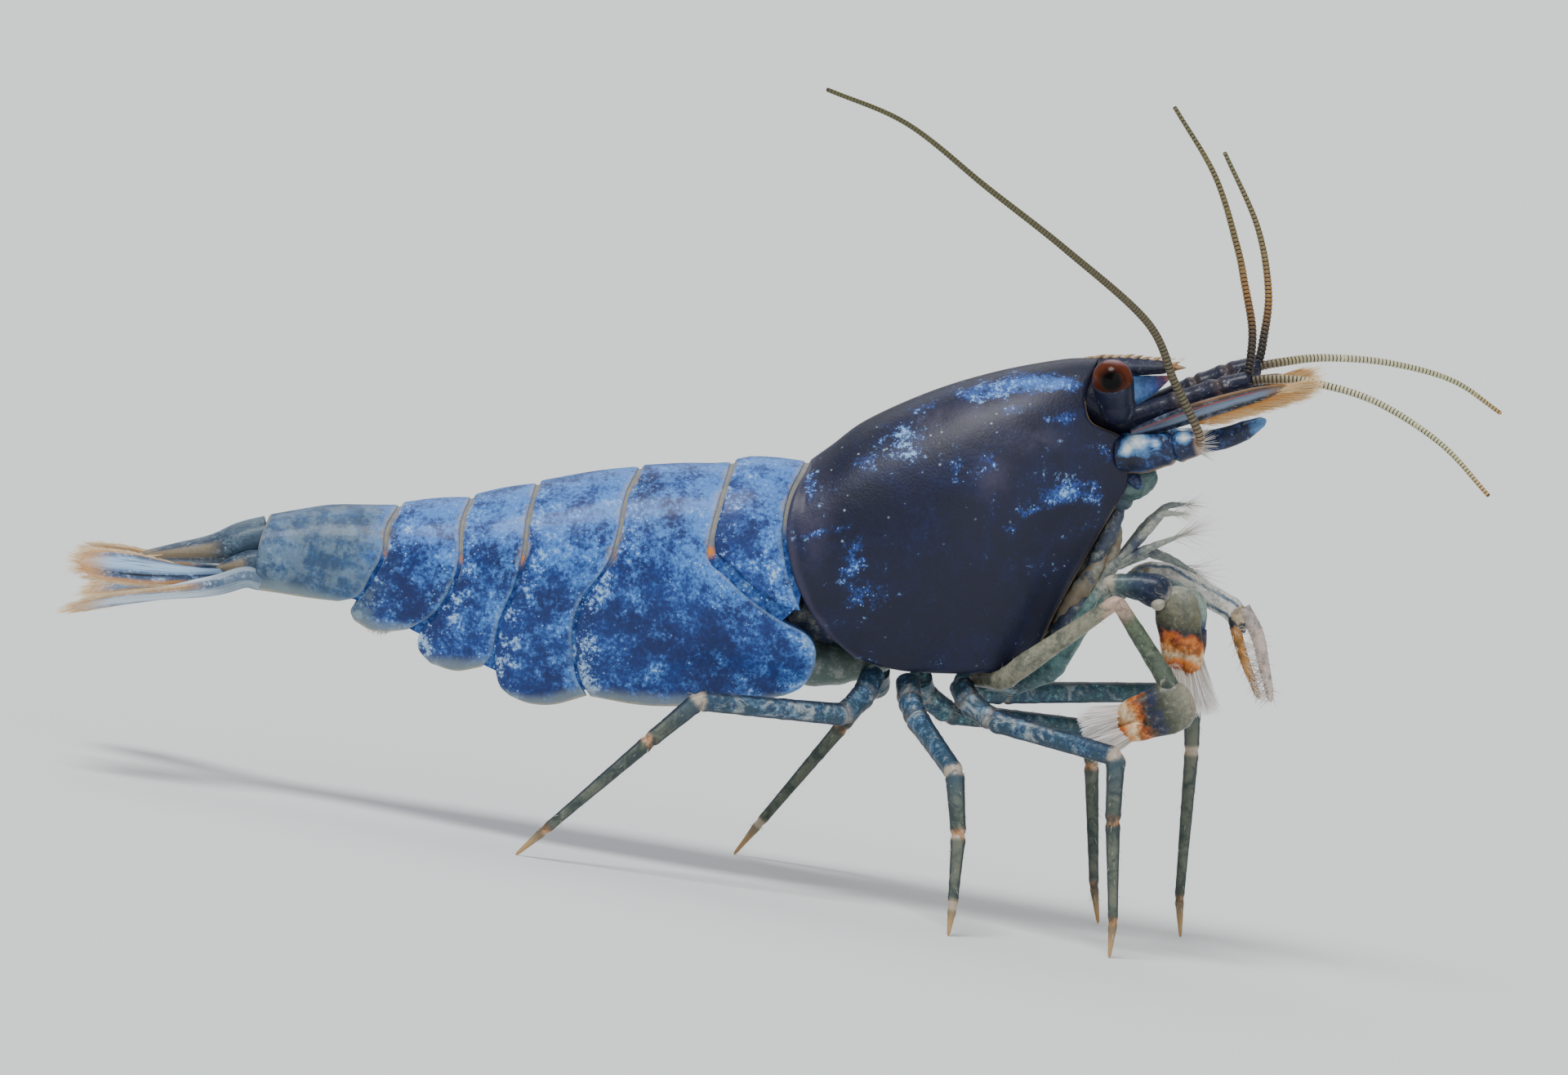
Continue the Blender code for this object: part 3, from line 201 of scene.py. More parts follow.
ANTENNA_STALKS = {
    "right": [(7.7, -0.9, 11.9), (8.3, -1.1, 12.05), (8.95, -1.28, 12.3), (9.6, -1.48, 12.54)],
    "left": [(7.7, 0.9, 11.9), (8.3, 1.1, 12.0), (8.9, 1.28, 12.24), (9.5, 1.48, 12.44)],
}
# Painted highlights on the antenna bases: x, z and reach of each pale glassy spot
PAINTED_HIGHLIGHT_SPOTS = [(8.02, 12.32, 0.28), (7.78, 12.02, 0.16), (9.12, 12.62, 0.17), (8.5, 12.3, 0.12)]
ANTENNA_LOBES = (
    ([(7.62, 0.8, 10.86), (8.1, 0.82, 11.16), (8.66, 0.85, 11.56)], 0.3, 0.36, 0.9),
    ([(7.55, 0.75, 10.95), (7.85, 0.78, 10.74), (8.2, 0.8, 10.78)], 0.24, 0.22, 0.8),
    ([(7.9, 0.9, 11.5), (8.14, 0.94, 11.32), (8.32, 0.96, 11.08)], 0.26, 0.2, 0.0),
)
FAR_ARTICLE = [(9.1, 1.2, 12.32), (9.8, 1.1, 12.46), (10.42, 1.0, 12.74), (11.12, 0.95, 13.24)]
SCALES = {
    "right": [(7.9, -1.1, 12.36), (8.7, -1.28, 12.78), (9.5, -1.38, 13.22), (10.4, -1.42, 13.67),
              (11.45, -1.46, 14.16)],
    "left": [(7.9, 1.1, 12.44), (8.7, 1.28, 12.86), (9.5, 1.38, 13.3), (10.4, 1.42, 13.77),
             (11.45, 1.46, 14.26)],
}
SCALE_ACROSS = (0.25, -0.5, -0.83)

# Mouth limbs and claw arms, and the points of each arm that are real joints
MAXILLIPEDS = {
    "right": [(7.5, -0.5, 8.2), (8.05, -0.7, 9.22), (8.82, -0.9, 9.78), (9.6, -1.0, 10.26)],
    "left": [(7.5, 0.5, 8.2), (8.05, 0.64, 9.1), (8.84, 0.65, 9.56), (9.45, 0.65, 9.46), (10.1, 0.65, 9.22)],
}
PALPS = {
    "right": [(8.0, -0.7, 9.1), (8.62, -0.95, 10.1), (8.95, -1.02, 10.65), (9.5, -1.05, 10.74)],
    "left": [(8.0, 0.62, 9.0), (8.66, 0.8, 10.2), (9.1, 0.85, 10.75), (9.65, 0.85, 10.88)],
}
CLAW_ARMS = {
    "cheliped_1_right": [(6.2, -0.5, 5.9), (6.95, -1.1, 6.4), (7.9, -1.65, 8.76), (8.75, -1.62, 8.84),
                         (9.5, -1.58, 8.74)],
    "cheliped_2_right": [(5.2, -0.7, 5.9), (5.82, -1.68, 6.0), (6.3, -2.15, 6.55), (8.2, -2.6, 8.45),
                         (9.6, -2.6, 6.9), (9.95, -2.6, 6.42)],
    "cheliped_1_left": [(6.2, 0.5, 5.9), (6.95, 1.1, 6.42), (8.15, 1.6, 8.6), (9.35, 1.5, 8.66),
                        (9.98, 1.5, 8.5)],
    "cheliped_2_left": [(5.4, 0.7, 5.75), (6.15, 1.6, 5.7), (7.1, 2.4, 6.85), (8.86, 2.5, 8.96),
                        (9.45, 2.4, 9.0), (11.12, 2.1, 8.44), (11.42, 2.05, 8.16)],
}
CLAW_ARM_RADII = {
    "cheliped_1_right": [0.26, 0.28, 0.2, 0.36, 0.54],
    "cheliped_2_right": [0.24, 0.25, 0.27, 0.17, 0.24, 0.24],
    "cheliped_1_left": [0.26, 0.28, 0.23, 0.3, 0.36],
    "cheliped_2_left": [0.26, 0.28, 0.26, 0.22, 0.28, 0.29, 0.26],
}
CLAW_ARM_JOINTS = {
    "cheliped_1_right": (1, 2), "cheliped_2_right": (1, 3), "cheliped_1_left": (1, 2),
    "cheliped_2_left": (1, 3),
}
# Each claw: root, tip of its brush, half-breadth of the palm and spread of the fingers
CLAWS = {
    "cheliped_1_right": ((9.54, -1.55, 8.95), (10.42, -1.5, 6.1), 0.54, 0.2),
    "cheliped_2_right": ((10.42, -2.6, 6.42), (8.15, -2.6, 5.12), 0.62, 0.22),
    "cheliped_1_left": ((9.96, 1.5, 8.76), (10.36, 1.5, 6.3), 0.48, 0.2),
    "cheliped_2_left": ((11.2, 2.0, 8.5), (12.45, 1.85, 6.3), 0.3, 0.3),
}
WRIST_BALLS = {"cheliped_1_right": (9.2, -1.84, 8.52), "cheliped_2_right": (9.66, -2.66, 6.78)}
SLENDER_FINGERS = (
    [(11.14, 1.98, 8.44), (11.36, 1.95, 7.86), (11.72, 1.9, 7.15), (12.2, 1.88, 6.36)],
    [(11.4, 1.98, 8.5), (11.84, 1.95, 7.96), (12.16, 1.9, 7.2), (12.5, 1.88, 6.34)],
)
FINGERS_END = 0.8
BAND_SLANT = {"cheliped_1_right": 0.06, "cheliped_1_left": 0.04}
OLIVE, DARK, NAVY = (0.17, 0.17, 0.125), (0.018, 0.02, 0.024), (0.008, 0.017, 0.055)
RUST, AMBER, CREAM = (0.36, 0.07, 0.01), (0.6, 0.2, 0.035), (0.74, 0.57, 0.34)
ARM_BANDS = {
    "cheliped_1_right": [
        (0.0, (0.03, 0.07, 0.1)), (0.3, (0.07, 0.15, 0.15)), (0.46, (0.13, 0.22, 0.2)),
        (0.5, (0.42, 0.38, 0.3)), (0.53, (0.42, 0.38, 0.3)), (0.57, (0.1, 0.16, 0.15)),
        (0.68, (0.03, 0.055, 0.09)), (0.8, NAVY), (0.94, (0.02, 0.03, 0.055)), (0.99, (0.4, 0.37, 0.32)),
    ],
    "cheliped_2_right": [
        (0.0, (0.15, 0.15, 0.11)), (0.35, (0.26, 0.25, 0.18)), (0.56, (0.22, 0.22, 0.16)),
        (0.59, (0.52, 0.36, 0.27)), (0.62, (0.52, 0.36, 0.27)), (0.66, (0.1, 0.13, 0.08)),
        (0.92, (0.07, 0.09, 0.07)), (1.0, (0.36, 0.26, 0.2)),
    ],
    "cheliped_1_left": [
        (0.0, (0.05, 0.1, 0.1)), (0.45, (0.09, 0.19, 0.17)), (0.53, (0.34, 0.33, 0.26)),
        (0.7, (0.03, 0.07, 0.12)), (1.0, (0.28, 0.36, 0.32)),
    ],
    "cheliped_2_left": [
        (0.0, (0.05, 0.1, 0.1)), (0.45, (0.1, 0.16, 0.16)), (0.52, (0.46, 0.4, 0.3)),
        (0.58, (0.72, 0.68, 0.6)), (0.86, (0.8, 0.77, 0.7)), (0.95, (0.78, 0.6, 0.38)),
        (1.0, (0.66, 0.46, 0.26)),
    ],
}
PALM_BANDS = {
    "cheliped_1_right": [
        (0.0, (0.3, 0.3, 0.24)), (0.1, OLIVE), (0.27, (0.13, 0.125, 0.075)), (0.37, DARK), (0.42, RUST),
        (0.5, AMBER), (0.57, CREAM), (0.63, AMBER), (0.7, RUST), (0.75, (0.5, 0.42, 0.33)),
        (1.0, (0.5, 0.46, 0.4)),
    ],
    "cheliped_2_right": [
        (0.0, (0.34, 0.3, 0.22)), (0.14, OLIVE), (0.28, (0.07, 0.075, 0.05)), (0.36, (0.015, 0.025, 0.075)),
        (0.43, (0.1, 0.06, 0.03)), (0.48, RUST), (0.54, AMBER), (0.62, CREAM), (0.7, AMBER), (0.76, RUST),
        (1.0, (0.6, 0.5, 0.42)),
    ],
    "cheliped_1_left": [
        (0.0, (0.36, 0.42, 0.36)), (0.25, (0.26, 0.36, 0.32)), (0.34, (0.02, 0.04, 0.12)),
        (0.5, (0.1, 0.05, 0.03)), (0.64, RUST), (0.8, (0.44, 0.36, 0.28)), (1.0, (0.6, 0.55, 0.5)),
    ],
    "cheliped_2_left": [
        (0.0, (0.56, 0.42, 0.28)), (0.19, (0.55, 0.42, 0.28)), (0.23, (0.03, 0.035, 0.045)),
        (0.33, (0.04, 0.045, 0.055)), (0.37, (0.42, 0.2, 0.06)), (0.6, (0.48, 0.22, 0.05)),
        (1.0, (0.55, 0.34, 0.17)),
    ],
}

# Flesh behind the last legs, and the folded mouth limbs: guides, half-breadth, half-thickness and tint
BELLY = (
    ([(3.2, 0.0, 5.95), (2.2, 0.0, 5.74), (1.2, 0.0, 5.52), (0.0, 0.0, 5.55), (-0.8, 0.0, 5.8)], 0.95, 0.6,
     "green"),
    ([(2.6, 0.0, 6.5), (1.6, 0.0, 6.55), (0.6, 0.0, 6.7), (-0.6, 0.0, 6.9)], 1.1, 0.62, "navy"),
)
MOUTH_STRIPS = (
    ([(7.98, 0.6, 10.75), (7.74, 0.68, 9.8), (7.4, 0.7, 8.9)], 0.2, 0.2, "navy"),
    ([(8.02, 0.4, 10.1), (7.92, 0.5, 9.4), (7.62, 0.56, 8.6)], 0.2, 0.16, "tan"),
    ([(7.78, 0.6, 9.5), (7.48, 0.72, 8.8), (7.16, 0.74, 8.1), (6.85, 0.72, 7.4)], 0.22, 0.24, "tan"),
    ([(7.62, 0.6, 8.5), (7.3, 0.76, 7.85), (6.95, 0.78, 7.2), (6.62, 0.7, 6.7)], 0.26, 0.28, "navy"),
)

# Tail fan, left side
TELSON = [(-12.5, 0.0, 6.2), (-13.02, 0.0, 6.02), (-13.7, 0.0, 5.7), (-14.6, 0.0, 5.45), (-15.5, 0.0, 5.2)]
TAIL_KNOB = [(-12.45, 0.5, 5.5), (-12.8, 0.52, 5.47), (-13.2, 0.56, 5.38), (-13.6, 0.62, 5.28)]
TAIL_BLADES = {
    "endopod": [(-12.5, 0.3, 5.35), (-12.87, 0.35, 5.3), (-13.5, 0.58, 5.08), (-14.4, 1.05, 5.0),
                (-15.8, 1.42, 4.96), (-16.85, 1.6, 4.9)],
    "exopod": [(-12.5, 0.8, 5.2), (-12.87, 1.0, 5.2), (-13.5, 1.38, 4.92), (-14.4, 2.1, 4.66),
               (-15.7, 2.75, 4.3), (-16.75, 3.2, 3.96)],
}
TAIL_TILT = {"endopod": 0.6, "exopod": -0.3}


def length_setting(name, description, default):
    return FloatProperty(name=name, description=description, default=default, precision=6, unit="LENGTH")


def count_setting(name, description, default, least, most):
    return IntProperty(name=name, description=description, default=default, min=least, max=most)


def colour_setting(name, description, default):
    return FloatVectorProperty(name=name, description=description, default=default, subtype="COLOR")


class ShrimpSizes(bpy.types.PropertyGroup):
    """Sizes that a user would change."""

    feeler_width: length_setting("Feeler width", "Width of a feeler at its root", 0.00023)
    feeler_ring: length_setting("Feeler ring", "Length of one ring of a feeler", 0.0001)
    bristle_width: length_setting("Bristle width", "Width of a bristle at its root", 0.000026)
    fringe_count: count_setting("Fringe bristles", "Bristles round one blade's rim", 1100, 50, 2000)
    brush_count: count_setting("Brush bristles", "Bristles of one claw's brush", 900, 50, 2000)
    tooth_count: count_setting("Rostral teeth", "Teeth along the top of the rostrum", 14, 4, 24)


class ShrimpColours(bpy.types.PropertyGroup):
    """Colours that a user would change."""

    navy: colour_setting("Navy", "Darkest shell", (0.006, 0.008, 0.028))
    royal: colour_setting("Royal", "Deep blue of the flanks", (0.012, 0.05, 0.24))
    sky: colour_setting("Sky", "Light blue of the back", (0.075, 0.25, 0.66))
    pale: colour_setting("Pale", "Palest specks", (0.46, 0.66, 0.84))
    cream: colour_setting("Cream", "Joint skin", (0.38, 0.33, 0.24))
    amber: colour_setting("Amber", "Orange spots at the joints", (0.68, 0.22, 0.03))
    cornea: colour_setting("Cornea", "Red-brown of the eyes", (0.11, 0.027, 0.01))


def unit(vectors):
    """Vectors divided by their lengths."""
    vectors = np.asarray(vectors, float)
    return vectors / np.linalg.norm(vectors, axis=-1, keepdims=True)


def even_shares(count):
    """Even steps from 0 to 1."""
    return np.linspace(0.0, 1.0, count)


def full_turn(count):
    """Even angles round a whole turn."""
    return np.linspace(0.0, math.tau, count, endpoint=False)


def on_side(guides, sign):
    """Guide points with y times the sign of a side."""
    return [np.array(place) * (1.0, sign, 1.0) for place in guides]


def resample(line, shares):
    """Points at shares of a line's length: each coordinate interpolated over the distance travelled."""
    steps = np.linalg.norm(np.diff(line, axis=0), axis=1)
    travelled = np.concatenate([[0.0], np.cumsum(steps)])
    wanted = np.asarray(shares, float) * travelled[-1]
    return np.stack([np.interp(wanted, travelled, line[:, axis]) for axis in range(line.shape[1])], axis=1)


def curve(guides, shares):
    """A Catmull-Rom curve: between each two guide points a cubic blend of the four nearest ones."""
    given = np.asarray(guides, float)
    ends = np.vstack([2 * given[0] - given[1], given, 2 * given[-1] - given[-2]])
    spans = len(given) - 1
    run = np.linspace(0.0, spans, spans * 16 + 1)
    cell = np.minimum(run.astype(int), spans - 1)
    f = (run - cell)[:, None]
    a, b, c, d = ends[cell], ends[cell + 1], ends[cell + 2], ends[cell + 3]
    line = 0.5 * (2 * b + (c - a) * f + (2 * a - 5 * b + 4 * c - d) * f ** 2 + (3 * b - a - 3 * c + d)
                  * f ** 3)
    return resample(line, shares)


def soft_polyline(joints, soften=0.2, real=None):
    """Straight runs between joints with rounded corners: a moving average over `soften` millimetres.

    Gives the points and, for each, its distance to the nearest real joint and its place counted in points.
    """
    joints = np.asarray(joints, float)
    lengths = np.linalg.norm(np.diff(joints, axis=0), axis=1)
    marks = np.concatenate([[0.0], np.cumsum(lengths)])
    travelled = np.linspace(0.0, marks[-1], int(marks[-1] / LIMB_STEP))
    line = np.stack([np.interp(travelled, marks, joints[:, axis]) for axis in range(3)], axis=1)
    window = max(3, int(soften / LIMB_STEP) | 1)
    reach = window // 2
    padded = np.vstack([2 * line[0] - line[reach:0:-1], line, 2 * line[-1] - line[-2:-reach - 2:-1]])
    kernel = np.ones(window) / window
    line = np.stack([np.convolve(padded[:, axis], kernel, mode="valid") for axis in range(3)], axis=1)
    inner = marks[1:-1] if real is None else marks[list(real)]
    near = np.abs(travelled[:, None] - inner[None]).min(axis=1)
    article = np.interp(travelled, marks, np.arange(len(marks)))
    return line, near, article


def tube(path, wide, thick, across=SIDEWAYS, sides=24, crest=0.0):
    """Rings round a path: centre + cos(a)·wide·side + sin(a)·thick·up.

    `side` is `across` made square to the path, and `crest` draws the upper half in to a ridge.
    """
    path = np.asarray(path, float)
    ahead = unit(np.gradient(path, axis=0))
    side = unit(across - ahead * np.sum(ahead * across, axis=-1, keepdims=True))
    up = np.cross(ahead, side)
    angle = full_turn(sides)
    cosine = np.cos(angle) * (1.0 - crest * np.clip(np.sin(angle), 0.0, 1.0))
    wide = np.broadcast_to(wide, len(path))[:, None, None]
    thick = np.broadcast_to(thick, len(path))[:, None, None]
    return (path[:, None] + cosine[None, :, None] * wide * side[:, None]
            + np.sin(angle)[None, :, None] * thick * up[:, None])


def tube_piece(grid, **layers):
    """Faces for rings of points and a flat cap at each end; a layer holds one value a ring or a point."""
    rings, sides = grid.shape[:2]
    index = np.arange(rings * sides).reshape(rings, sides)
    after = np.roll(index, -1, axis=1)
    quads = np.stack([index[:-1], after[:-1], after[1:], index[1:]], axis=-1).reshape(-1, 4)
    values = {}
    for name, layer in layers.items():
        layer = np.asarray(layer, float)
        layer = layer[:, None] if layer.ndim == 1 else layer
        values[name] = np.broadcast_to(layer, (rings, sides)).reshape(-1)
    caps = np.stack([index[0][::-1], index[-1]])
    return {"points": grid.reshape(-1, 3), "faces": [quads, caps], "layers": values}


def bristles(roots, aims, lengths, width, curl, places, chance):
    """Fine three-sided hairs: root + aim·length·t + curl·length·t², tapering to a point.

    `places` are the roots' spots on the unwrapped skin; each hair gets a patch 0.003 across there.
    """
    count, rings = len(roots), 4
    t = even_shares(rings)
    aims = unit(aims)
    reach = lengths[:, None, None]
    run = t[None, :, None]
    centre = roots[:, None] + aims[:, None] * reach * run + curl[:, None] * reach * run ** 2
    side = unit(np.cross(aims, np.array([0.31, 0.17, 0.93])))
    up = np.cross(aims, side)
    angle = full_turn(3)
    radius = 0.5 * width * (0.8 + 0.4 * chance.random(count))[:, None] * (1.0 - 0.82 * t)[None]
    ring = (np.cos(angle)[None, :, None] * side[:, None] + np.sin(angle)[None, :, None] * up[:, None])
    grid = centre[:, :, None] + radius[:, :, None, None] * ring[:, None]
    index = np.arange(count * rings * 3).reshape(count, rings, 3)
    after = np.roll(index, -1, axis=2)
    quads = np.stack([index[:, :-1], after[:, :-1], after[:, 1:], index[:, 1:]], axis=-1).reshape(-1, 4)
    caps = np.concatenate([index[:, 0, ::-1], index[:, -1]])
    patch = 0.003 * np.stack(np.meshgrid(t, [0.0, 0.5, 1.0], indexing="ij")[::-1], axis=-1)
    spots = places[:, None, None] * 0.99 + patch[None]
    return {
        "points": grid.reshape(-1, 3), "faces": [quads, caps],
        "layers": {"along": np.broadcast_to(t[None, :, None], index.shape).reshape(-1),
                   "chance": np.broadcast_to(chance.random(count)[:, None, None], index.shape).reshape(-1)},
        "spots": spots.reshape(-1, 2),
    }


def build(name, pieces, material, replaces=(), recalculate=False, crease=50.0):
    """One mesh object from pieces in millimetres: their layers as point attributes, their spots as UVs."""
    points = np.concatenate([piece["points"] for piece in pieces])
    starts = np.concatenate([[0], np.cumsum([len(piece["points"]) for piece in pieces])])
    faces = []
    for piece, start in zip(pieces, starts):
        for block in piece["faces"]:
            faces += (block + start).tolist()
    mesh = bpy.data.meshes.new(name)
    mesh.from_pydata(((points + SHIFT) * MM).tolist(), [], faces)
    for layer in sorted({key for piece in pieces for key in piece["layers"]}):
        values = np.concatenate([piece["layers"].get(layer, np.zeros(len(piece["points"])))
                                 for piece in pieces])
        mesh.attributes.new(layer, "FLOAT", "POINT").data.foreach_set("value", values.astype(np.float32))
    if "spots" in pieces[0]:
        corners = np.zeros(len(mesh.loops), np.int32)
        mesh.loops.foreach_get("vertex_index", corners)
        spots = np.concatenate([piece["spots"] for piece in pieces])[corners]
        mesh.uv_layers.new(name="OFBake").data.foreach_set("uv", spots.astype(np.float32).reshape(-1))
    if recalculate:
        shell = bmesh.new()
        shell.from_mesh(mesh)
        bmesh.ops.recalc_face_normals(shell, faces=shell.faces)
        shell.to_mesh(mesh)
        shell.free()
    mesh.shade_smooth()
    mesh.set_sharp_from_angle(angle=math.radians(crease))
    mesh.materials.append(material)
    piece = bpy.data.objects.new(name, mesh)
    bpy.context.scene.collection.objects.link(piece)
    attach(piece, "root")
    if replaces:
        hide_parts(*replaces)
    return piece


def side_grid(top, front, rear, margin, rows, stations):
    """A Coons patch in side view: both pairs of borders blended, less the blend of the four corners."""
    top_line = curve(top, stations)
    margin_line = curve(margin, stations)
    front_line = curve(front, rows)
    rear_line = curve(rear, rows)
    s = rows[:, None, None]
    v = stations[None, :, None]
    lengthwise = (1 - v) * front_line[:, None] + v * rear_line[:, None]
    downward = (1 - s) * top_line[None] + s * margin_line[None]
    upper = (1 - v) * np.array(front[0]) + v * np.array(rear[0])
    lower = (1 - v) * np.array(front[-1]) + v * np.array(rear[-1])
    return lengthwise + downward - ((1 - s) * upper + s * lower)


def smooth_profile(x, profile, key, reach=0.5):
    """A tabled value along X without kinks: the mean of five straight-line readings around each place."""
    offsets = np.linspace(-reach, reach, 5)
    return sum(np.interp(x + offset, profile["x"], profile[key]) for offset in offsets) / 5.0


def flank(x, z, profile, top=None):
    """Half-width at a place of the side view: a quarter ellipse above the widest height, tucked in below.

    Also gives how steeply the surface faces up there, from 0 at the widest height to 1 on the ridge.
    """
    top_z = np.interp(x, profile["x"], profile["top"]) if top is None else np.interp(x, top[:, 0], top[:, 1])
    widest = smooth_profile(x, profile, "widest")
    foot = smooth_profile(x, profile, "foot")
    half = smooth_profile(x, profile, "half")
    rise = np.clip((z - widest) / (top_z - widest), 0.0, 1.0)
    drop = np.clip((widest - z) / np.maximum(widest - foot, 0.2), 0.0, 1.2)
    return half * np.sqrt(1.0 - rise ** 2) * (1.0 - profile["tuck"] * drop ** 2), rise


def even_rows(count):
    """Shares from 0 to 1 set closer at both ends: half of one minus a cosine."""
    return 0.5 - 0.5 * np.cos(np.linspace(0.0, math.pi, count))


def rounding(distance, radius):
    """How far a rounded edge falls back at a distance from it: a quarter circle."""
    return radius * (1.0 - np.sqrt(1.0 - np.clip(1.0 - distance / radius, 0.0, 1.0) ** 2))


def plate_piece(grid, half, rise, lift, wall, ceiling_share, rows, layers):
    """A shell plate: an arch with a rounded flap down each side and a trough between the flaps.

    `lift` moves the outer face out along its own slope; the end faces run straight across the body.
    """
    last = len(rows) - 1
    ceiling = int(np.argmax(rows >= ceiling_share))
    drop = (1.0 - rows[:, None]) * np.linalg.norm(grid[-1] - grid[0], axis=-1)[None]
    thin = rounding(drop, 0.5 * wall * 0.999)
    outer_y = np.maximum(half + lift * np.sqrt(1.0 - rise ** 2) - thin, 0.0)
    outer_y[0] = 0.0
    outer = np.stack([grid[..., 0], outer_y, grid[..., 1] + lift * rise], axis=-1)
    inner = np.stack([grid[..., 0], half - wall + thin, grid[..., 1]], axis=-1)
    flip = np.array([1.0, -1.0, 1.0])
    order = [outer[0:1], outer[1:] * flip, inner[last:ceiling - 1:-1] * flip, inner[ceiling:], outer[:0:-1]]
    ring = np.concatenate(order).transpose(1, 0, 2)
    keys = np.concatenate([np.arange(last + 1), np.arange(last, ceiling - 1, -1),
                           np.arange(ceiling, last + 1), np.arange(last, 0, -1)])
    size = ring.shape[1]
    piece = tube_piece(ring, **{name: layer[keys].T for name, layer in layers.items()})
    faces = piece["faces"][:1]
    in_right = 2 * last + 1 - np.arange(last + 1)
    in_left = 2 * last + 2 - 2 * ceiling + np.arange(last + 1)
    for station in (0, ring.shape[0] - 1):
        start = station * size
        caps = [[0, 1, size - 1]]
        caps += [[k, k + 1, size - k - 1, size - k] for k in range(1, ceiling - 1)]
        caps.append([ceiling - 1, ceiling, in_right[ceiling], in_left[ceiling], size - ceiling,
                     size - ceiling + 1])
        for k in range(ceiling, last):
            caps.append([k, k + 1, in_right[k + 1], in_right[k]])
            caps.append([size - k, size - k - 1, in_left[k + 1], in_left[k]])
        faces += [np.array([cap]) + start for cap in caps]
    piece["faces"] = faces
    return piece


def plate_layers(grid):
    """Distances in millimetres from a plate's front, rear and lower borders, and the share of its height."""
    rows, stations = grid.shape[:2]
    along = np.linalg.norm(np.diff(grid, axis=1), axis=-1)
    length = np.concatenate([np.zeros((rows, 1)), np.cumsum(along, axis=1)], axis=1)
    down = np.linalg.norm(np.diff(grid, axis=0), axis=-1)
    depth = np.concatenate([np.zeros((1, stations)), np.cumsum(down, axis=0)], axis=0)
    return {"from_front": length, "from_rear": length[:, -1:] - length, "from_margin": depth[-1:] - depth,
            "depth": depth / depth[-1:]}


class Value:
    """A shader value that adds, subtracts and multiplies like a number."""

    def __init__(self, paint, socket):
        self.paint = paint
        self.socket = socket

    def __add__(self, other):
        return self.paint.maths("ADD", self, other)

    def __sub__(self, other):
        return self.paint.maths("SUBTRACT", self, other)

    def __rsub__(self, other):
        return self.paint.maths("SUBTRACT", other, self)

    def __mul__(self, other):
        return self.paint.maths("MULTIPLY", self, other)

    def __abs__(self):
        return self.paint.maths("ABSOLUTE", self)

    def larger(self, other):
        return self.paint.maths("MAXIMUM", self, other)

    def step(self, low, high):
        """A smooth step from 0 at `low` to 1 at `high`, or falling where `high` is the lower."""
        return self.paint.node("MapRange", 0, {"interpolation_type": "SMOOTHSTEP"}, Value=self, From_Min=low,
                               From_Max=high)


class Paint:
    """Adds nodes to one tree and gives their outputs as values."""

    def __init__(self, tree):
        self.tree = tree
        self.spot = None

    def put(self, socket, value):
        """Link a value to a socket, or set a number, a vector or a colour on it."""
        if isinstance(value, Value):
            self.tree.links.new(value.socket, socket)
        elif socket.type == "RGBA":
            socket.default_value = (*value, 1.0)
        else:
            socket.default_value = value

    def node(self, kind, output=0, settings=(), **inputs):
        """One output of a new node, its settings made and its inputs filled by name."""
        made = self.tree.nodes.new("ShaderNode" + kind)
        for key, value in dict(settings).items():
            setattr(made, key, value)
        for key, value in inputs.items():
            self.put(made.inputs[key.replace("_", " ")], value)
        return Value(self, made.outputs[output])

    def maths(self, operation, *values):
        made = self.tree.nodes.new("ShaderNodeMath")
        made.operation = operation
        for socket, value in zip(made.inputs, values):
            self.put(socket, value)
        return Value(self, made.outputs[0])

    def mix(self, factor, first, second, blend="MIX"):
        """A blend of two colours."""
        made = self.tree.nodes.new("ShaderNodeMix")
        made.data_type = "RGBA"
        made.blend_type = blend
        for index, value in ((0, factor), (6, first), (7, second)):
            self.put(made.inputs[index], value)
        return Value(self, made.outputs[2])

    def layer(self, name):
        """A point attribute's value."""
        return self.node("Attribute", "Fac", {"attribute_name": name})

    def place(self):
        """Object coordinates in millimetres, made once in a tree."""
        if self.spot is None:
            self.spot = self.node("VectorMath", 0, {"operation": "SCALE"},
                                  Vector=self.node("TexCoord", "Object"), Scale=1.0 / MM)
        return self.spot

    def noise(self, scale, detail, roughness=0.5, distortion=0.0, vector=None):
        """Cloudy noise, from 0 to 1, with about `scale` clouds in a millimetre."""
        return self.node("TexNoise", "Fac", Vector=vector or self.place(), Scale=scale, Detail=detail,
                         Roughness=roughness, Distortion=distortion)

    def cells(self, scale, channel="Red"):
        """Cells of chance: the distance from each cell's heart, and a number drawn for the cell."""
        distance = self.node("TexVoronoi", "Distance", Vector=self.place(), Scale=scale)
        drawn = Value(self, distance.socket.node.outputs["Color"])
        return distance, self.node("SeparateColor", channel, Color=drawn)

    def bands(self, value, stops):
        """A colour read off (place, colour) stops."""
        colour = self.node("ValToRGB", "Color", Fac=value)
        elements = colour.socket.node.color_ramp.elements
        for index in (0, -1):
            elements[index].position = stops[index][0]
            elements[index].color = (*stops[index][1], 1.0)
        for position, tint in stops[1:-1]:
            elements.new(position).color = (*tint, 1.0)
        return colour


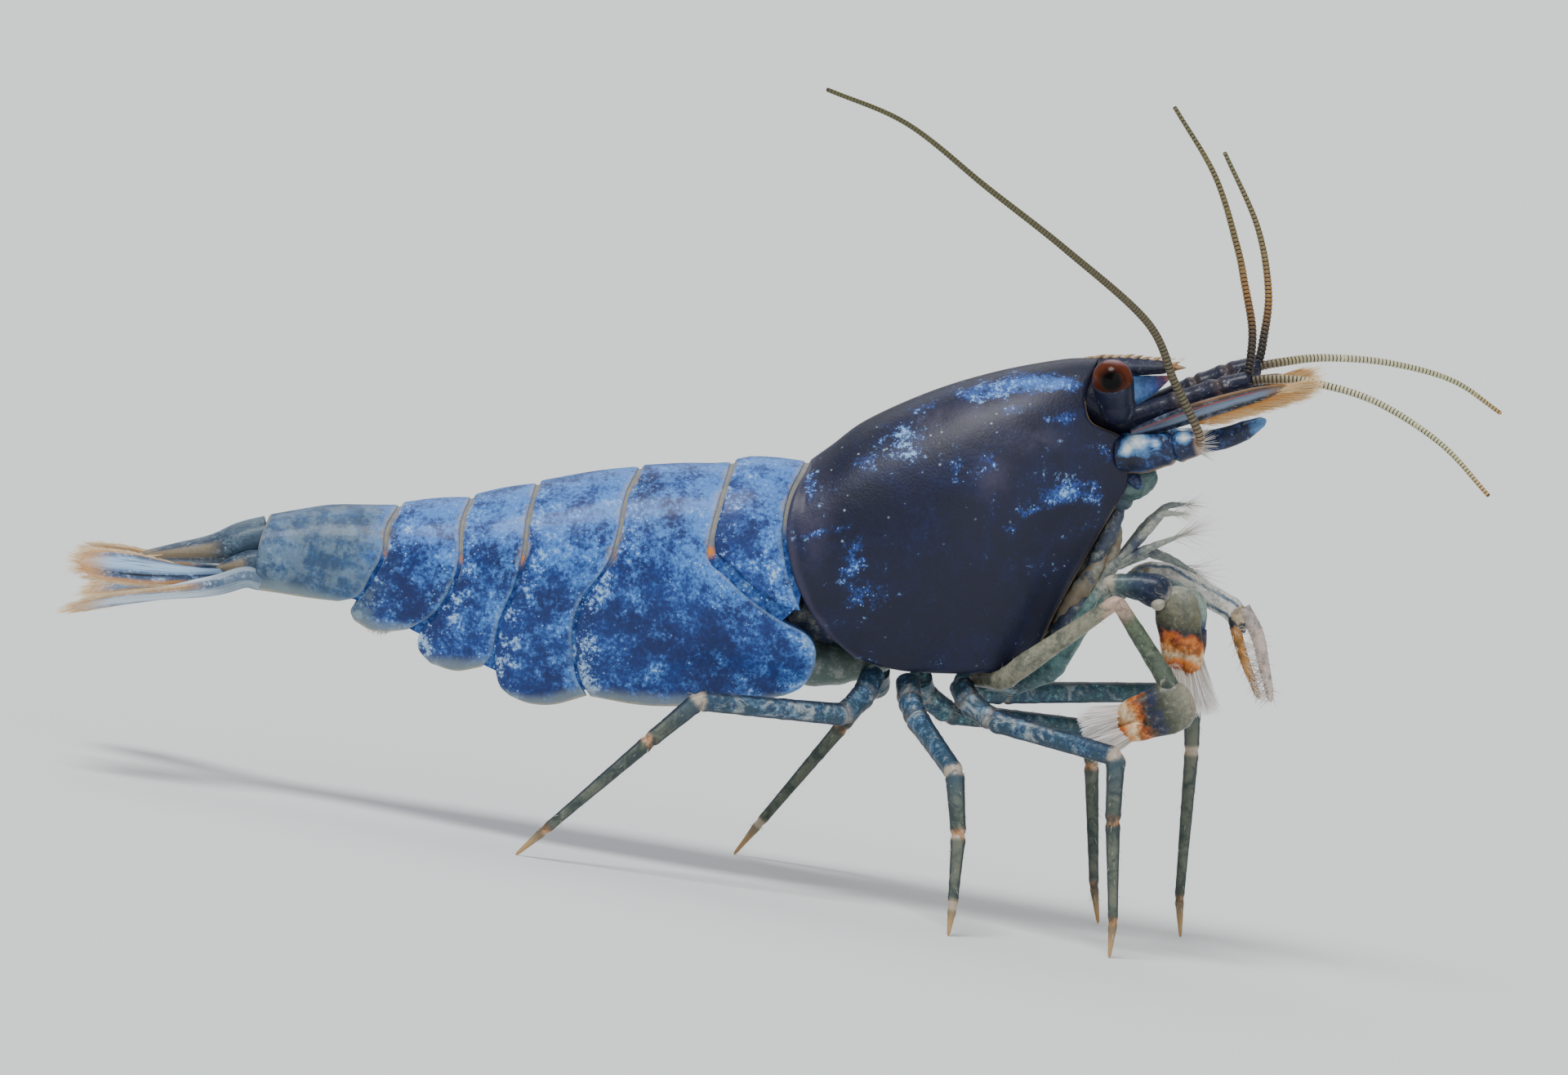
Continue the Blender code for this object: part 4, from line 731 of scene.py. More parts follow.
class Finish(Paint):
    """The paint of a new material, over its Principled shader."""

    def __init__(self, name, coat=0.0, subsurface=0.0, specular=0.28, coat_roughness=0.1):
        self.material = bpy.data.materials.new(name)
        self.material.use_nodes = True
        super().__init__(self.material.node_tree)
        self.set(Metallic=0.0, Specular_IOR_Level=specular, Coat_Weight=coat, Coat_Roughness=coat_roughness,
                 Subsurface_Weight=subsurface, Subsurface_Radius=(1.0, 0.9, 0.7), Subsurface_Scale=0.0002)

    def set(self, **values):
        """Fill inputs of the shader by name."""
        shader = self.tree.nodes["Principled BSDF"]
        for key, value in values.items():
            self.put(shader.inputs[key.replace("_", " ")], value)

    def relief(self, height, strength, distance):
        """A bump from a height."""
        self.set(Normal=self.node("Bump", 0, Height=height, Strength=strength, Distance=distance))

    def pigment(self, *values):
        """The shell pigment, wired to roughness and bump; gives its colour for what lies over it.

        The values are the group's: ground, deep, light and pale colour, lift, grains and size.
        """
        made = self.tree.nodes.new("ShaderNodeGroup")
        made.node_tree = bpy.data.node_groups["Shell pigment"]
        for socket, value in zip(made.inputs, values):
            self.put(socket, value)
        colour, height, roughness = [Value(self, socket) for socket in made.outputs]
        self.relief(height, 0.5, 0.00001)
        self.set(Roughness=roughness)
        return colour

    def done(self, colour, **values):
        """The material, with its colour and any other inputs filled."""
        self.set(Base_Color=colour, **values)
        return self.material


def make_pigment_group():
    """Shell pigment: cloudy patches of a lighter colour over a ground, with fine pale grains on top.

    Lift says how much of the surface the lighter colour takes, from 0 to 1, and Grains how many pale grains
    lie there.
    """
    tree = bpy.data.node_groups.new("Shell pigment", "ShaderNodeTree")
    for label, kind, default in (
        ("Ground", "Color", (0, 0, 0, 1)), ("Deep", "Color", (0, 0, 0, 1)), ("Light", "Color", (0, 0, 0, 1)),
        ("Pale", "Color", (1, 1, 1, 1)), ("Lift", "Float", 0.5), ("Grains", "Float", 0.3),
        ("Size", "Float", 3.0),
    ):
        given = tree.interface.new_socket(label, in_out="INPUT", socket_type="NodeSocket" + kind)
        given.default_value = default
    for label, kind in (("Color", "Color"), ("Height", "Float"), ("Roughness", "Float")):
        tree.interface.new_socket(label, in_out="OUTPUT", socket_type="NodeSocket" + kind)
    paint = Paint(tree)
    sockets = tree.nodes.new("NodeGroupInput").outputs[:7]
    ground, deep_tint, light, pale, lift, grains, size = [Value(paint, socket) for socket in sockets]
    cloud = paint.noise(size, 7.0, 0.74)
    broad = paint.noise(0.8, 3.0, 0.6)
    fine = paint.noise(11.0, 4.0, 0.65)
    distance, chosen = paint.cells(15.0)
    rough_cloud = fine * 0.55 - 0.275 + (broad * 0.4 - 0.2) + cloud
    patchy = rough_cloud + (lift * 0.5 - 0.25) - 0.5
    deep = patchy * 0.6 + (broad * 0.7 - 0.28)
    colour = paint.mix(deep.step(-0.14, 0.2), ground, deep_tint)
    colour = paint.mix(patchy.step(-0.05, 0.22), colour, light)
    rare = (grains * 0.4 + chosen).step(0.97, 1.04)
    dusty = (grains * 0.16 + rough_cloud).step(0.66, 0.8)
    grain = (dusty * 0.75).larger(rare * distance.step(0.4, 0.12))
    colour = paint.mix(grain * patchy.step(-0.16, 0.1), colour, pale)
    shade = paint.mix(fine.step(0.3, 0.7), (0.72, 0.74, 0.8), (1.0, 1.0, 1.0))
    colour = paint.mix(1.0, colour, shade, "MULTIPLY")
    height = broad * 7.0 + (fine * 0.6 + distance)
    roughness = paint.node("MapRange", 0, Value=fine, To_Min=0.38, To_Max=0.62)
    for socket, value in zip(tree.nodes.new("NodeGroupOutput").inputs, (colour, height, roughness)):
        paint.put(socket, value)
    return tree


def make_carapace_material(colours):
    """Near-black navy: sky-blue clouds at the marks, pale dust, a painted purple-grey sheen standing for a
    soft highlight, thin golden borders.
    """
    paint = Finish("Navy carapace", coat=0.12, coat_roughness=0.28)
    noise = paint.noise(1.3, 5.0, 0.65)
    mark = paint.layer("mark")
    dust = paint.layer("dust")
    lift = mark * 0.94 + 0.05
    grains = mark * 0.95 + dust * 0.35
    # Painted highlight: a soft purple-grey sheen mixed into the ground and deep colours where the sheen
    # patches lie
    bloom = paint.layer("bloom") * noise.step(0.34, 0.6)
    ground = paint.mix(bloom * 0.8, colours.navy, (0.05, 0.045, 0.085))
    deep = paint.mix(bloom, (0.006, 0.012, 0.055), (0.035, 0.035, 0.08))
    light = paint.mix(mark.step(0.55, 0.95), (0.018, 0.08, 0.36), (0.06, 0.2, 0.58))
    colour = paint.pigment(ground, deep, light, (0.34, 0.6, 0.9), lift, grains, 2.4)
    distance, chosen = paint.cells(7.0, "Green")
    lucky = (dust * 0.18 + chosen).step(0.98, 1.02)
    speck = lucky * distance.step(0.3, 0.06)
    colour = paint.mix(speck * 0.8, colour, (0.42, 0.48, 0.5))
    gold = (noise * 0.12 + paint.layer("border")).step(0.13, 0.06)
    colour = paint.mix(gold * 0.6, colour, (0.34, 0.24, 0.1))
    rear = (noise * 0.3 + paint.layer("from_rear")).step(0.42, 0.2)
    colour = paint.mix(rear * 0.55, colour, (0.06, 0.055, 0.1))
    return paint.done(colour)


def make_plate_material(colours):
    """Sky blue on the back to royal blue on the flank, cream upper joints and translucent rims below."""
    paint = Finish("Blue plates", coat=0.08)
    depth = paint.layer("depth")
    lift = 0.7 - depth.step(0.06, 0.75) * 0.28
    front = paint.layer("from_front")
    bright = front.step(0.9, 0.1) * 0.18
    lift = lift + bright
    rear = paint.layer("from_rear")
    dusted = rear.step(0.75, 0.1) * (depth * 0.6 + 0.4)
    grit = paint.layer("grit")
    lift = grit * 0.22 + lift
    grains = dusted + bright + (grit * 0.7 + 0.12)
    colour = paint.pigment((0.008, 0.022, 0.11), colours.royal, colours.sky, colours.pale, lift, grains, 1.9)
    noise = paint.noise(2.2, 5.0, 0.7)
    head = paint.layer("from_head") + (noise * 1.2 - 0.6)
    grey = paint.mix(noise.step(0.42, 0.6), (0.035, 0.075, 0.13), (0.13, 0.2, 0.25))
    colour = paint.mix(head.step(9.2, 10.3) * 0.8, colour, grey)
    rest = front + (noise * 0.5 - 0.25)
    behind = rear + (noise * 0.5 - 0.25)
    upper = depth.step(0.5, 0.3)
    joint = rest.step(0.16, 0.0).larger(behind.step(0.08, 0.0))
    colour = paint.mix(joint * upper * 0.5, colour, colours.cream)
    lower = rest.step(0.16, 0.03) * depth.step(0.3, 0.5)
    colour = paint.mix(lower * 0.25, colour, (0.3, 0.44, 0.55))
    low = paint.layer("from_margin") + (noise * 0.2 - 0.1)
    colour = paint.mix(low.step(0.44, 0.08) * 0.7, colour, (0.22, 0.28, 0.29))
    colour = paint.mix(low.step(0.1, 0.02) * 0.6, colour, (0.42, 0.37, 0.24))
    return paint.done(colour)


def make_joint_material(colours):
    """Cream joint skin, with a small orange spot on each side at the lower end of every joint."""
    paint = Finish("Joint skin", subsurface=0.1, specular=0.1)
    drop = paint.layer("drop")
    below = paint.pigment((0.01, 0.03, 0.13), colours.royal, (0.06, 0.16, 0.4), colours.pale, 0.6, 0.3, 2.4)
    noise = paint.noise(5.0, 4.0)
    colour = paint.mix(noise, colours.cream, (0.12, 0.15, 0.17))
    colour = paint.mix(drop.step(0.3, 0.46), colour, below)
    colour = paint.mix(paint.layer("dot"), colour, colours.amber)
    return paint.done(colour)


def make_limb_material(name, colours, ground, light, marbling):
    """Translucent limb: marbled with white-blue, cream at its joints and amber at its toe, with painted
    shade darkening its upper and lower outlines.
    """
    paint = Finish(name, coat=0.12, subsurface=0.15)
    article = paint.layer("article")
    joint = paint.layer("joint")
    marble = paint.noise(1.7, 6.0, 0.7, 0.6)
    inner = article.step(3.2, 2.7)
    lift = inner * 0.3 + 0.2
    colour = paint.pigment(ground, (0.018, 0.05, 0.11), light, colours.pale, lift, 0.05, 4.0)
    veins = marble.step(0.5, 0.66) * (inner * marbling)
    colour = paint.mix(veins, colour, (0.4, 0.45, 0.45))
    outer = article.step(2.8, 3.8)
    green = paint.mix(marble.step(0.38, 0.62), (0.035, 0.05, 0.04), (0.15, 0.16, 0.11))
    colour = paint.mix(outer * 0.85, colour, green)
    # Painted shade: a near-black band along the limb's outlines as seen from the camera
    edge = paint.layer("edge") + (marble * 0.4 - 0.2)
    colour = paint.mix(edge.step(0.62, 0.92) * 0.85, colour, (0.008, 0.014, 0.03))
    wide = marble.step(0.4, 0.6) * 0.3
    low = article.step(3.4, 3.8) * marble.step(0.62, 0.45)
    cream = paint.mix(low, (0.42, 0.35, 0.27), (0.44, 0.19, 0.06))
    ring = (joint + wide) * joint.step(0.02, 0.75)
    ring = ring * (article.step(2.2, 2.7) * 0.75 + 0.25)
    colour = paint.mix(ring * marble.step(0.34, 0.56), colour, cream)
    toe = article.step(4.85, 5.7) * 0.85
    colour = paint.mix(toe, colour, (0.46, 0.28, 0.12))
    return paint.done(colour)


def make_banded_material(name, stops, wobble, stripe=None, paler=None):
    """Colour bands along a piece, from root to tip: their borders broken, mottled dark and flecked pale.

    `stripe` is a colour for lines along the limb's sides, and `paler` one for the second of two fingers.
    """
    paint = Finish(name, coat=0.1, subsurface=0.12)
    noise = paint.noise(2.6, 6.0, 0.7)
    fine = paint.noise(9.0, 4.0, 0.65)
    shift = (noise - 0.5) * (wobble * 4.0)
    along = paint.layer("along") + shift
    colour = paint.bands(along, stops)
    if paler is not None:
        colour = paint.mix(paint.layer("second"), colour, paler)
    if stripe is not None:
        edge = paint.layer("edge") + (noise * 0.4 - 0.2)
        line = edge.step(0.42, 0.5) * edge.step(0.78, 0.68)
        colour = paint.mix(line, colour, stripe)
    dark = (fine * 0.5 + noise).step(0.86, 0.58)
    shade = paint.mix(dark, (1.0, 1.0, 1.0), (0.34, 0.38, 0.42))
    colour = paint.mix(0.85, colour, shade, "MULTIPLY")
    light = fine.step(0.52, 0.72) * 0.14
    colour = paint.mix(light, colour, (0.62, 0.6, 0.5))
    paint.relief(fine, 0.4, 0.00001)
    return paint.done(colour, Roughness=0.45)


def make_bristle_material(name, root, tip):
    """Bristles that pale from root to tip, each a little different."""
    paint = Finish(name, subsurface=0.2)
    along = paint.layer("along")
    chance = paint.layer("chance")
    height = along + (chance * 0.5 - 0.25)
    return paint.done(paint.mix(height, root, tip), Roughness=0.45)


def make_feeler_material(name, stops, seam):
    """A ringed feeler: pale rings with dark seams between, tinted from root to tip."""
    paint = Finish(name, coat=0.15, subsurface=0.15)
    ring = paint.layer("ring")
    colour = paint.bands(paint.layer("along"), stops)
    noise = paint.noise(4.0, 3.0)
    dark = ring.step(0.85, 0.45) * noise.step(0.2, 0.45)
    return paint.done(paint.mix(dark, colour, seam), Roughness=0.42)


def make_eye_material(colours):
    """Glossy red-brown cornea with a painted pinkish-grey highlight on top, a dark pupil on its outer side
    and fine facets.
    """
    paint = Finish("Ruby eye", coat=0.07, specular=0.08)
    pupil = paint.layer("pupil")
    noise = paint.noise(6.0, 4.0)
    colour = paint.mix(noise, colours.cornea, (0.07, 0.016, 0.008))
    # Painted highlight: pinkish-grey on the top of the cornea, where it faces up
    colour = paint.mix(paint.layer("top").step(0.68, 1.0), colour, (0.22, 0.12, 0.13))
    wavy = pupil + (noise * 0.05 - 0.025)
    colour = paint.mix(wavy.step(0.6, 0.88), colour, (0.03, 0.008, 0.005))
    colour = paint.mix(wavy.step(0.82, 0.93), colour, (0.001, 0.001, 0.001))
    paint.relief(paint.cells(22.0)[0], 0.25, 0.000006)
    return paint.done(colour, Roughness=0.2)


def make_stalk_material(colours):
    """Near-black navy stalks with blue glints and a few golden flecks at their joints."""
    paint = Finish("Navy stalks", coat=0.14)
    joint = paint.layer("joint")
    colour = paint.pigment(colours.navy, (0.01, 0.014, 0.04), (0.03, 0.08, 0.24), (0.45, 0.38, 0.25), 0.22,
                           0.1, 3.0)
    colour = paint.mix(joint * 0.15, colour, (0.3, 0.18, 0.09))
    return paint.done(colour)


def make_glassy_material(colours):
    """The antenna's base: dark blue with painted glassy highlights, blotches pale at their hearts, and a
    golden lower edge.
    """
    paint = Finish("Glassy antenna base", coat=0.3, coat_roughness=0.2)
    noise = paint.noise(2.4, 4.0, 0.6, 0.8)
    colour = paint.pigment(colours.navy, (0.01, 0.025, 0.09), (0.04, 0.12, 0.34), colours.pale, 0.42, 0.15,
                           2.0)
    # Painted highlights: blue, then blue-grey, then near-white towards the hearts of the bright spots
    amount = paint.layer("bright") + (noise * 1.8 - 0.9)
    colour = paint.mix(amount.step(0.1, 0.5), colour, (0.07, 0.19, 0.4))
    colour = paint.mix(amount.step(0.42, 0.9), colour, (0.3, 0.42, 0.54))
    colour = paint.mix(amount.step(0.85, 1.2), colour, (0.66, 0.72, 0.74))
    colour = paint.mix(paint.layer("under").step(0.8, 0.97) * 0.6, colour, (0.3, 0.2, 0.09))
    colour = paint.mix(paint.layer("along").step(0.9, 0.98), colour, (0.42, 0.3, 0.22))
    green = paint.mix(noise.step(0.3, 0.7), (0.02, 0.04, 0.06), (0.09, 0.16, 0.13))
    colour = paint.mix(paint.layer("lobe"), colour, green)
    return paint.done(colour)


def make_flesh_material():
    """Smoky translucent flesh, pale grey-green with cloudy navy blotches."""
    paint = Finish("Smoky flesh", coat=0.1, subsurface=0.35)
    noise = paint.noise(1.1, 5.0, 0.6)
    colour = paint.pigment((0.2, 0.23, 0.22), (0.25, 0.28, 0.25), (0.36, 0.37, 0.31), (0.5, 0.48, 0.4), 0.6,
                           0.0, 0.9)
    blotch = noise.step(0.52, 0.66) * 0.8
    colour = paint.mix(blotch, colour, (0.02, 0.035, 0.09))
    broken = paint.noise(2.6, 5.0, 0.7)
    for layer, tint in (("tan", (0.26, 0.2, 0.13)), ("green", (0.06, 0.1, 0.085)),
                        ("navy", (0.02, 0.035, 0.085))):
        amount = paint.layer(layer) * broken.step(0.36, 0.54)
        colour = paint.mix(amount, colour, tint)
    return paint.done(colour)


def make_blade_material(name, ground, light, rim, line, line_place, sheen_place, root_colour):
    """A tail or antenna blade: a streaky pale sheen along it, one thin line, and its rim's own colour.

    The places run across the blade, from -1 at one rim to 1 at the other.
    """
    paint = Finish(name, coat=0.1, subsurface=0.15)
    across = paint.layer("across")
    along = paint.layer("along")
    colour = paint.pigment(ground, ground, light, (0.7, 0.8, 0.88), 0.5, 0.12, 2.4)
    flat = paint.node("CombineXYZ", X=along * 2.2, Y=across * 7.0)
    streak = paint.noise(1.6, 4.0, vector=flat)
    off_sheen = abs(across - sheen_place)
    off_sheen = streak * 0.8 + off_sheen
    colour = paint.mix(off_sheen.step(0.62, 1.0), light, colour)
    colour = paint.mix(streak.step(0.5, 0.34) * 0.7, colour, ground)
    root = along.step(0.4, 0.15)
    root = root * streak.step(0.3, 0.6)
    colour = paint.mix(root * 0.85, colour, root_colour)
    outer = abs(across).step(0.7, 0.96) * along.step(0.3, 0.5)
    tip = outer.larger(along.step(0.8, 0.97))
    colour = paint.mix(tip * 0.8, colour, rim)
    off_line = abs(across - line_place)
    thin = off_line.step(0.12, 0.03) * along.step(0.9, 0.75)
    thin = thin * streak.step(0.3, 0.55)
    colour = paint.mix(thin, colour, line)
    return paint.done(colour)


class PieceOperator:
    """Shared base of the operators that make pieces."""

    bl_options = {"REGISTER", "UNDO"}

    @staticmethod
    def colours(context):
        return context.scene.shrimp_colours

    @staticmethod
    def sizes(context):
        return context.scene.shrimp_sizes


def ellipses(x, z, marks, power):
    """The strongest of several soft tilted ellipses at each place of the side view."""
    strongest = np.zeros_like(x)
    for mark_x, mark_z, length, height, slope, strength in marks:
        run = (x - mark_x) + slope * (z - mark_z)
        fall = (z - mark_z) - slope * (x - mark_x)
        strongest = np.maximum(strongest, strength
                               * np.exp(-((run / length) ** 2 + (fall / height) ** 2) ** power))
    return strongest


class SHRIMP_OT_carapace(PieceOperator, bpy.types.Operator):
    """Make the carapace: an arched shield with an eye notch in front and golden borders."""

    bl_idname = "shrimp.carapace"
    bl_label = "Carapace"

    def execute(self, context):
        rows = even_rows(84)
        stations = even_rows(110)
        top = curve(CARAPACE_TOP, even_shares(80))[::-1]
        grid = side_grid(CARAPACE_TOP, CARAPACE_FRONT, CARAPACE_REAR, CARAPACE_MARGIN, rows, stations)
        x, z = grid[..., 0], grid[..., 1]
        half, rise = flank(x, z, CARAPACE_PROFILE, top)
        layers = plate_layers(grid)
        edge = np.minimum(layers["from_front"], layers["from_rear"])
        lift = 0.05 * np.sin(np.clip(x / 8.0, 0.0, 1.0) * math.pi) - rounding(edge, 0.12) * (1.0 - rise ** 4)
        lower_front = np.where(x > 5.9, layers["from_margin"], 9.0)
        layers["mark"] = ellipses(x, z, CARAPACE_MARKS, 1.5)
        orbit = layers["from_front"] + 9.0 * (z > 13.1)
        layers["border"] = np.minimum(np.minimum(lower_front, orbit), rows[:, None] * 40.0 + 0.02)
        layers["dust"] = ellipses(x, z, [(*place, 1.0) for place in CARAPACE_DUST], 1.0)
        # Where the purple-grey painted sheen (a painted highlight) lies
        layers["bloom"] = ellipses(x, z, [(*place, 1.0) for place in CARAPACE_PAINTED_SHEEN], 1.2)
        piece = plate_piece(grid, half, rise, lift, 0.3, 0.86, rows, layers)
        material = make_carapace_material(self.colours(context))
        build("carapace_shell", [piece], material, ["carapace"], recalculate=True)
        return {"FINISHED"}


class SHRIMP_OT_rostrum(PieceOperator, bpy.types.Operator):
    """Make the rostrum: a ridged blade with forward-leaning teeth, an amber tip and a keel below."""

    bl_idname = "shrimp.rostrum"
    bl_label = "Rostrum"

    def execute(self, context):
        chance = np.random.default_rng(21)
        shares = even_shares(90)
        path = curve(ROSTRUM, shares)
        wide = np.interp(shares, [0.0, 0.3, 0.6, 0.85, 1.0], [0.42, 0.34, 0.27, 0.2, 0.02])
        thick = np.interp(shares, [0.0, 0.3, 0.6, 0.85, 1.0], [0.22, 0.22, 0.24, 0.17, 0.015])
        blade = tube_piece(tube(path, wide, thick, sides=32, crest=0.55), along=shares)
        count = self.sizes(context).tooth_count
        pieces = [blade]
        places = np.linspace(0.12, 0.93, count)
        edges = resample(path, places) + np.outer(np.interp(places, shares, thick), (0.0, 0.0, 1.0))
        for edge, share in zip(edges, places):
            size = (0.11 + 0.04 * chance.random()) * (1.15 - 0.4 * share)
            guides = [edge - (0.1, 0, 0.05), edge + (0.02, 0, 0.3 * size),
                      edge + (1.25 * size, 0, 0.85 * size)]
            spine = curve(guides, even_shares(7))
            taper = np.array([1.0, 0.95, 0.8, 0.62, 0.42, 0.22, 0.06])
            grid = tube(spine, 0.05 * taper, 0.07 * taper, sides=8)
            pieces.append(tube_piece(grid, along=np.full(7, 0.97)))
        stops = [(0.0, (0.006, 0.008, 0.024)), (0.35, (0.01, 0.012, 0.03)), (0.7, (0.016, 0.022, 0.06)),
                 (0.86, (0.03, 0.03, 0.05)), (0.93, (0.38, 0.15, 0.05)), (1.0, (0.5, 0.38, 0.22))]
        material = make_banded_material("Rostrum", stops, 0.02)
        build("rostrum_blade", pieces, material, recalculate=True)

        keel_shares = even_shares(40)
        keel = curve(ROSTRUM_KEEL, keel_shares)
        depth = np.interp(keel_shares, [0.0, 0.35, 0.7, 1.0], [0.42, 0.42, 0.24, 0.03])
        grid = tube(keel - (0.0, 0.0, 0.08), 0.12 * (1.0 - 0.8 * keel_shares), depth, sides=28)
        stops = [(0.0, (0.02, 0.05, 0.16)), (0.4, (0.12, 0.3, 0.62)), (0.75, (0.04, 0.1, 0.36)),
                 (1.0, (0.4, 0.09, 0.03))]
        material = make_banded_material("Rostrum keel", stops, 0.08)
        build("rostrum_keel", [tube_piece(grid, along=keel_shares)], material)

        roots = resample(path, places + 0.025) + (0.0, 0.0, 0.2)
        roots = np.repeat(roots, 3, axis=0) + (chance.random((count * 3, 3)) - 0.5) * (0.16, 0.1, 0.05)
        aims = np.array([0.8, 0.0, 0.9]) + (chance.random((count * 3, 3)) - 0.5) * 0.7
        spots = np.stack([np.linspace(0.05, 0.9, count * 3), np.full(count * 3, 0.5)], axis=1)
        hair = bristles(roots, aims, 0.1 + 0.08 * chance.random(count * 3), 0.02, np.zeros((count * 3, 3)),
                        spots, chance)
        material = make_bristle_material("Rostral hairs", (0.5, 0.36, 0.2), (0.85, 0.8, 0.68))
        build("rostrum_hairs", [hair], material)
        return {"FINISHED"}


class SHRIMP_OT_eyes(PieceOperator, bpy.types.Operator):
    """Make the eyes and the cup-shaped stalks that carry them."""

    bl_idname = "shrimp.eyes"
    bl_label = "Eyes"

    def execute(self, context):
        cornea = make_eye_material(self.colours(context))
        cup = make_stalk_material(self.colours(context))
        for side, sign in SIDES:
            mirror = np.array([1.0, sign, 1.0])
            centre = np.array(EYE_CENTRE) * mirror - (0.0, 0.0, 0.04 * (1.0 + sign))
            outward = unit(np.array(EYE_OUTWARD) * mirror)
            tilt = np.linspace(0.004, math.pi - 0.004, 48)
            path = centre + np.cos(tilt)[:, None] * np.array([0.0, 0.0, -EYE_RADII[2]])
            grid = tube(path, EYE_RADII[0] * np.sin(tilt), EYE_RADII[1] * np.sin(tilt), (1.0, 0.0, 0.0), 64)
            facing = unit(grid - centre)
            pupil = facing @ unit(np.array([-0.06, sign, -0.08]))
            # top: how far the cornea faces up, where its material paints a highlight
            build(f"cornea_{side}", [tube_piece(grid, pupil=pupil, top=facing[..., 2])], cornea,
                  [f"eye_{side}"])
            guides = on_side(EYESTALK_ROOT, sign)
            guides += [centre - outward * reach for reach in (0.85, 0.6, 0.35, 0.12, 0.0)]
            shares = even_shares(60)
            line = curve(guides, shares)
            radius = np.interp(shares, [0.0, 0.25, 0.42, 0.5, 0.7, 0.9, 0.97, 1.0],
                               [0.26, 0.29, 0.36, 0.43, 0.47, 0.51, 0.515, 0.44])
            drum = tube_piece(tube(line, radius, radius, (1.0, 0.0, 0.0), 48), joint=np.zeros(60))
            build(f"eye_cup_{side}", [drum], cup, [f"eyestalk_{side}"])
        shares = even_shares(60)
        path = curve(HEAD_CORE, shares)
        end = np.sqrt(np.clip(1.0 - ((shares - 0.6) / 0.4) ** 2, 0.0, 1.0)) * 0.97 + 0.03
        end = np.where(shares < 0.6, 1.0, end)
        thick = np.interp(shares, [0.0, 0.4, 1.0], [0.72, 0.66, 0.5])
        grid = tube(path, 0.86 * end, thick * end, sides=48)
        build("head_core", [tube_piece(grid, joint=np.zeros(60))], cup)
        return {"FINISHED"}


def abdomen_borders():
    """The side view of each abdomen plate: its front, rear and margin borders."""
    gap = JOINT_HALF_GAP

    def shifted(border, step_x):
        return [(x + step_x, z) for x, z in border]

    return [
        (shifted(JOINT_1_FRONT, 0.17), shifted(JOINT_1_REAR, -0.08), JOINT_1_MARGIN),
        (shifted(JOINT_2_FRONT, 0.08), shifted(JOINT_3, gap), JOINT_2_MARGIN),
        (shifted(JOINT_3, -gap), shifted(JOINT_4, gap), JOINT_3_MARGIN),
        (shifted(JOINT_4[:-2], -gap) + JOINT_4_MARGIN[:1], shifted(JOINT_5, gap), JOINT_4_MARGIN),
        (shifted(JOINT_5[:-3], -gap) + JOINT_5_MARGIN[:1], shifted(JOINT_6, gap), JOINT_5_MARGIN),
        (shifted(JOINT_6[:-2], -gap) + JOINT_6_MARGIN[:1], TAIL_ROOT, JOINT_6_MARGIN),
    ]


class SHRIMP_OT_abdomen(PieceOperator, bpy.types.Operator):
    """Make the six abdomen plates and the cream skin that shows between them."""

    bl_idname = "shrimp.abdomen"
    bl_label = "Abdomen"

    def execute(self, context):
        material = make_plate_material(self.colours(context))
        for number, (front, rear, margin) in enumerate(abdomen_borders(), start=1):
            rows = even_rows(72)
            stations = even_rows(64 if number == 2 else 44)
            margin = [front[-1], *margin[1:-1], rear[-1]]
            xs = np.linspace(front[0][0], rear[0][0], 5)
            top = list(zip(xs, np.interp(xs, ABDOMEN_PROFILE["x"], ABDOMEN_PROFILE["top"])))
            front = [top[0], *front[1:]]
            rear = [top[-1], *rear[1:]]
            grid = side_grid(top, front, rear, margin, rows, stations)
            half, rise = flank(grid[..., 0], grid[..., 1], ABDOMEN_PROFILE)
            rise[0] = 1.0
            layers = plate_layers(grid)
            edge = np.minimum(layers["from_front"], layers["from_rear"])
            lip = 0.05 * stations[None] ** 3
            if number == 1:
                layers["from_margin"] = layers["from_margin"] + 9.0
            layers["grit"] = ellipses(grid[..., 0], grid[..., 1], PLATE_GRIT, 1.0)
            belly = 0.06 * np.sin(stations * math.pi)[None] * (1.0 - 0.5 * layers["depth"])
            lift = lip + belly - rounding(edge, 0.06)
            layers["from_head"] = -grid[..., 0]
            wall = float(min(0.3, 0.45 * half[rows > 0.8].min()))
            piece = plate_piece(grid, half, rise, lift, wall, 0.8, rows, layers)
            build(f"abdomen_plate_{number}", [piece], material, [f"abdomen_{number}"],
                  recalculate=True)

        x = np.linspace(0.6, -12.5, 240)[:, None]
        top_z = np.interp(x, ABDOMEN_PROFILE["x"], ABDOMEN_PROFILE["top"])
        low = np.interp(x, [-12.5, -10.1, -8.2, -6.3, -4.4, -1.0, 0.6], [5.3, 5.2, 4.6, 4.1, 3.98, 5.0, 7.0])
        share = even_shares(64)[None] ** 1.5
        height = top_z + (low - top_z) * share
        half, rise = flank(np.broadcast_to(x, height.shape), height, ABDOMEN_PROFILE)
        rise[:, 0] = 1.0
        side = half - SEAM_DEPTH * np.sqrt(1.0 - rise ** 2)
        side[:, 0] = 0.0
        across = np.concatenate([side, -side[:, :0:-1]], axis=1)
        upward = np.concatenate([height, height[:, :0:-1]], axis=1) - SEAM_DEPTH
        grid = np.stack([np.broadcast_to(x, across.shape), across, upward], axis=-1)
        dots = np.array(JOINT_DOTS)
        apart = np.hypot(grid[..., 0, None] - dots[:, 0], grid[..., 2, None] - dots[:, 1]).min(axis=-1)
        drop = np.concatenate([share, share[:, :0:-1]], axis=1)
        skin = tube_piece(grid, dot=np.clip(1.6 - apart / 0.1, 0.0, 1.0), drop=drop)
        build("abdomen_joint_skin", [skin], make_joint_material(self.colours(context)),
              recalculate=True)
        return {"FINISHED"}


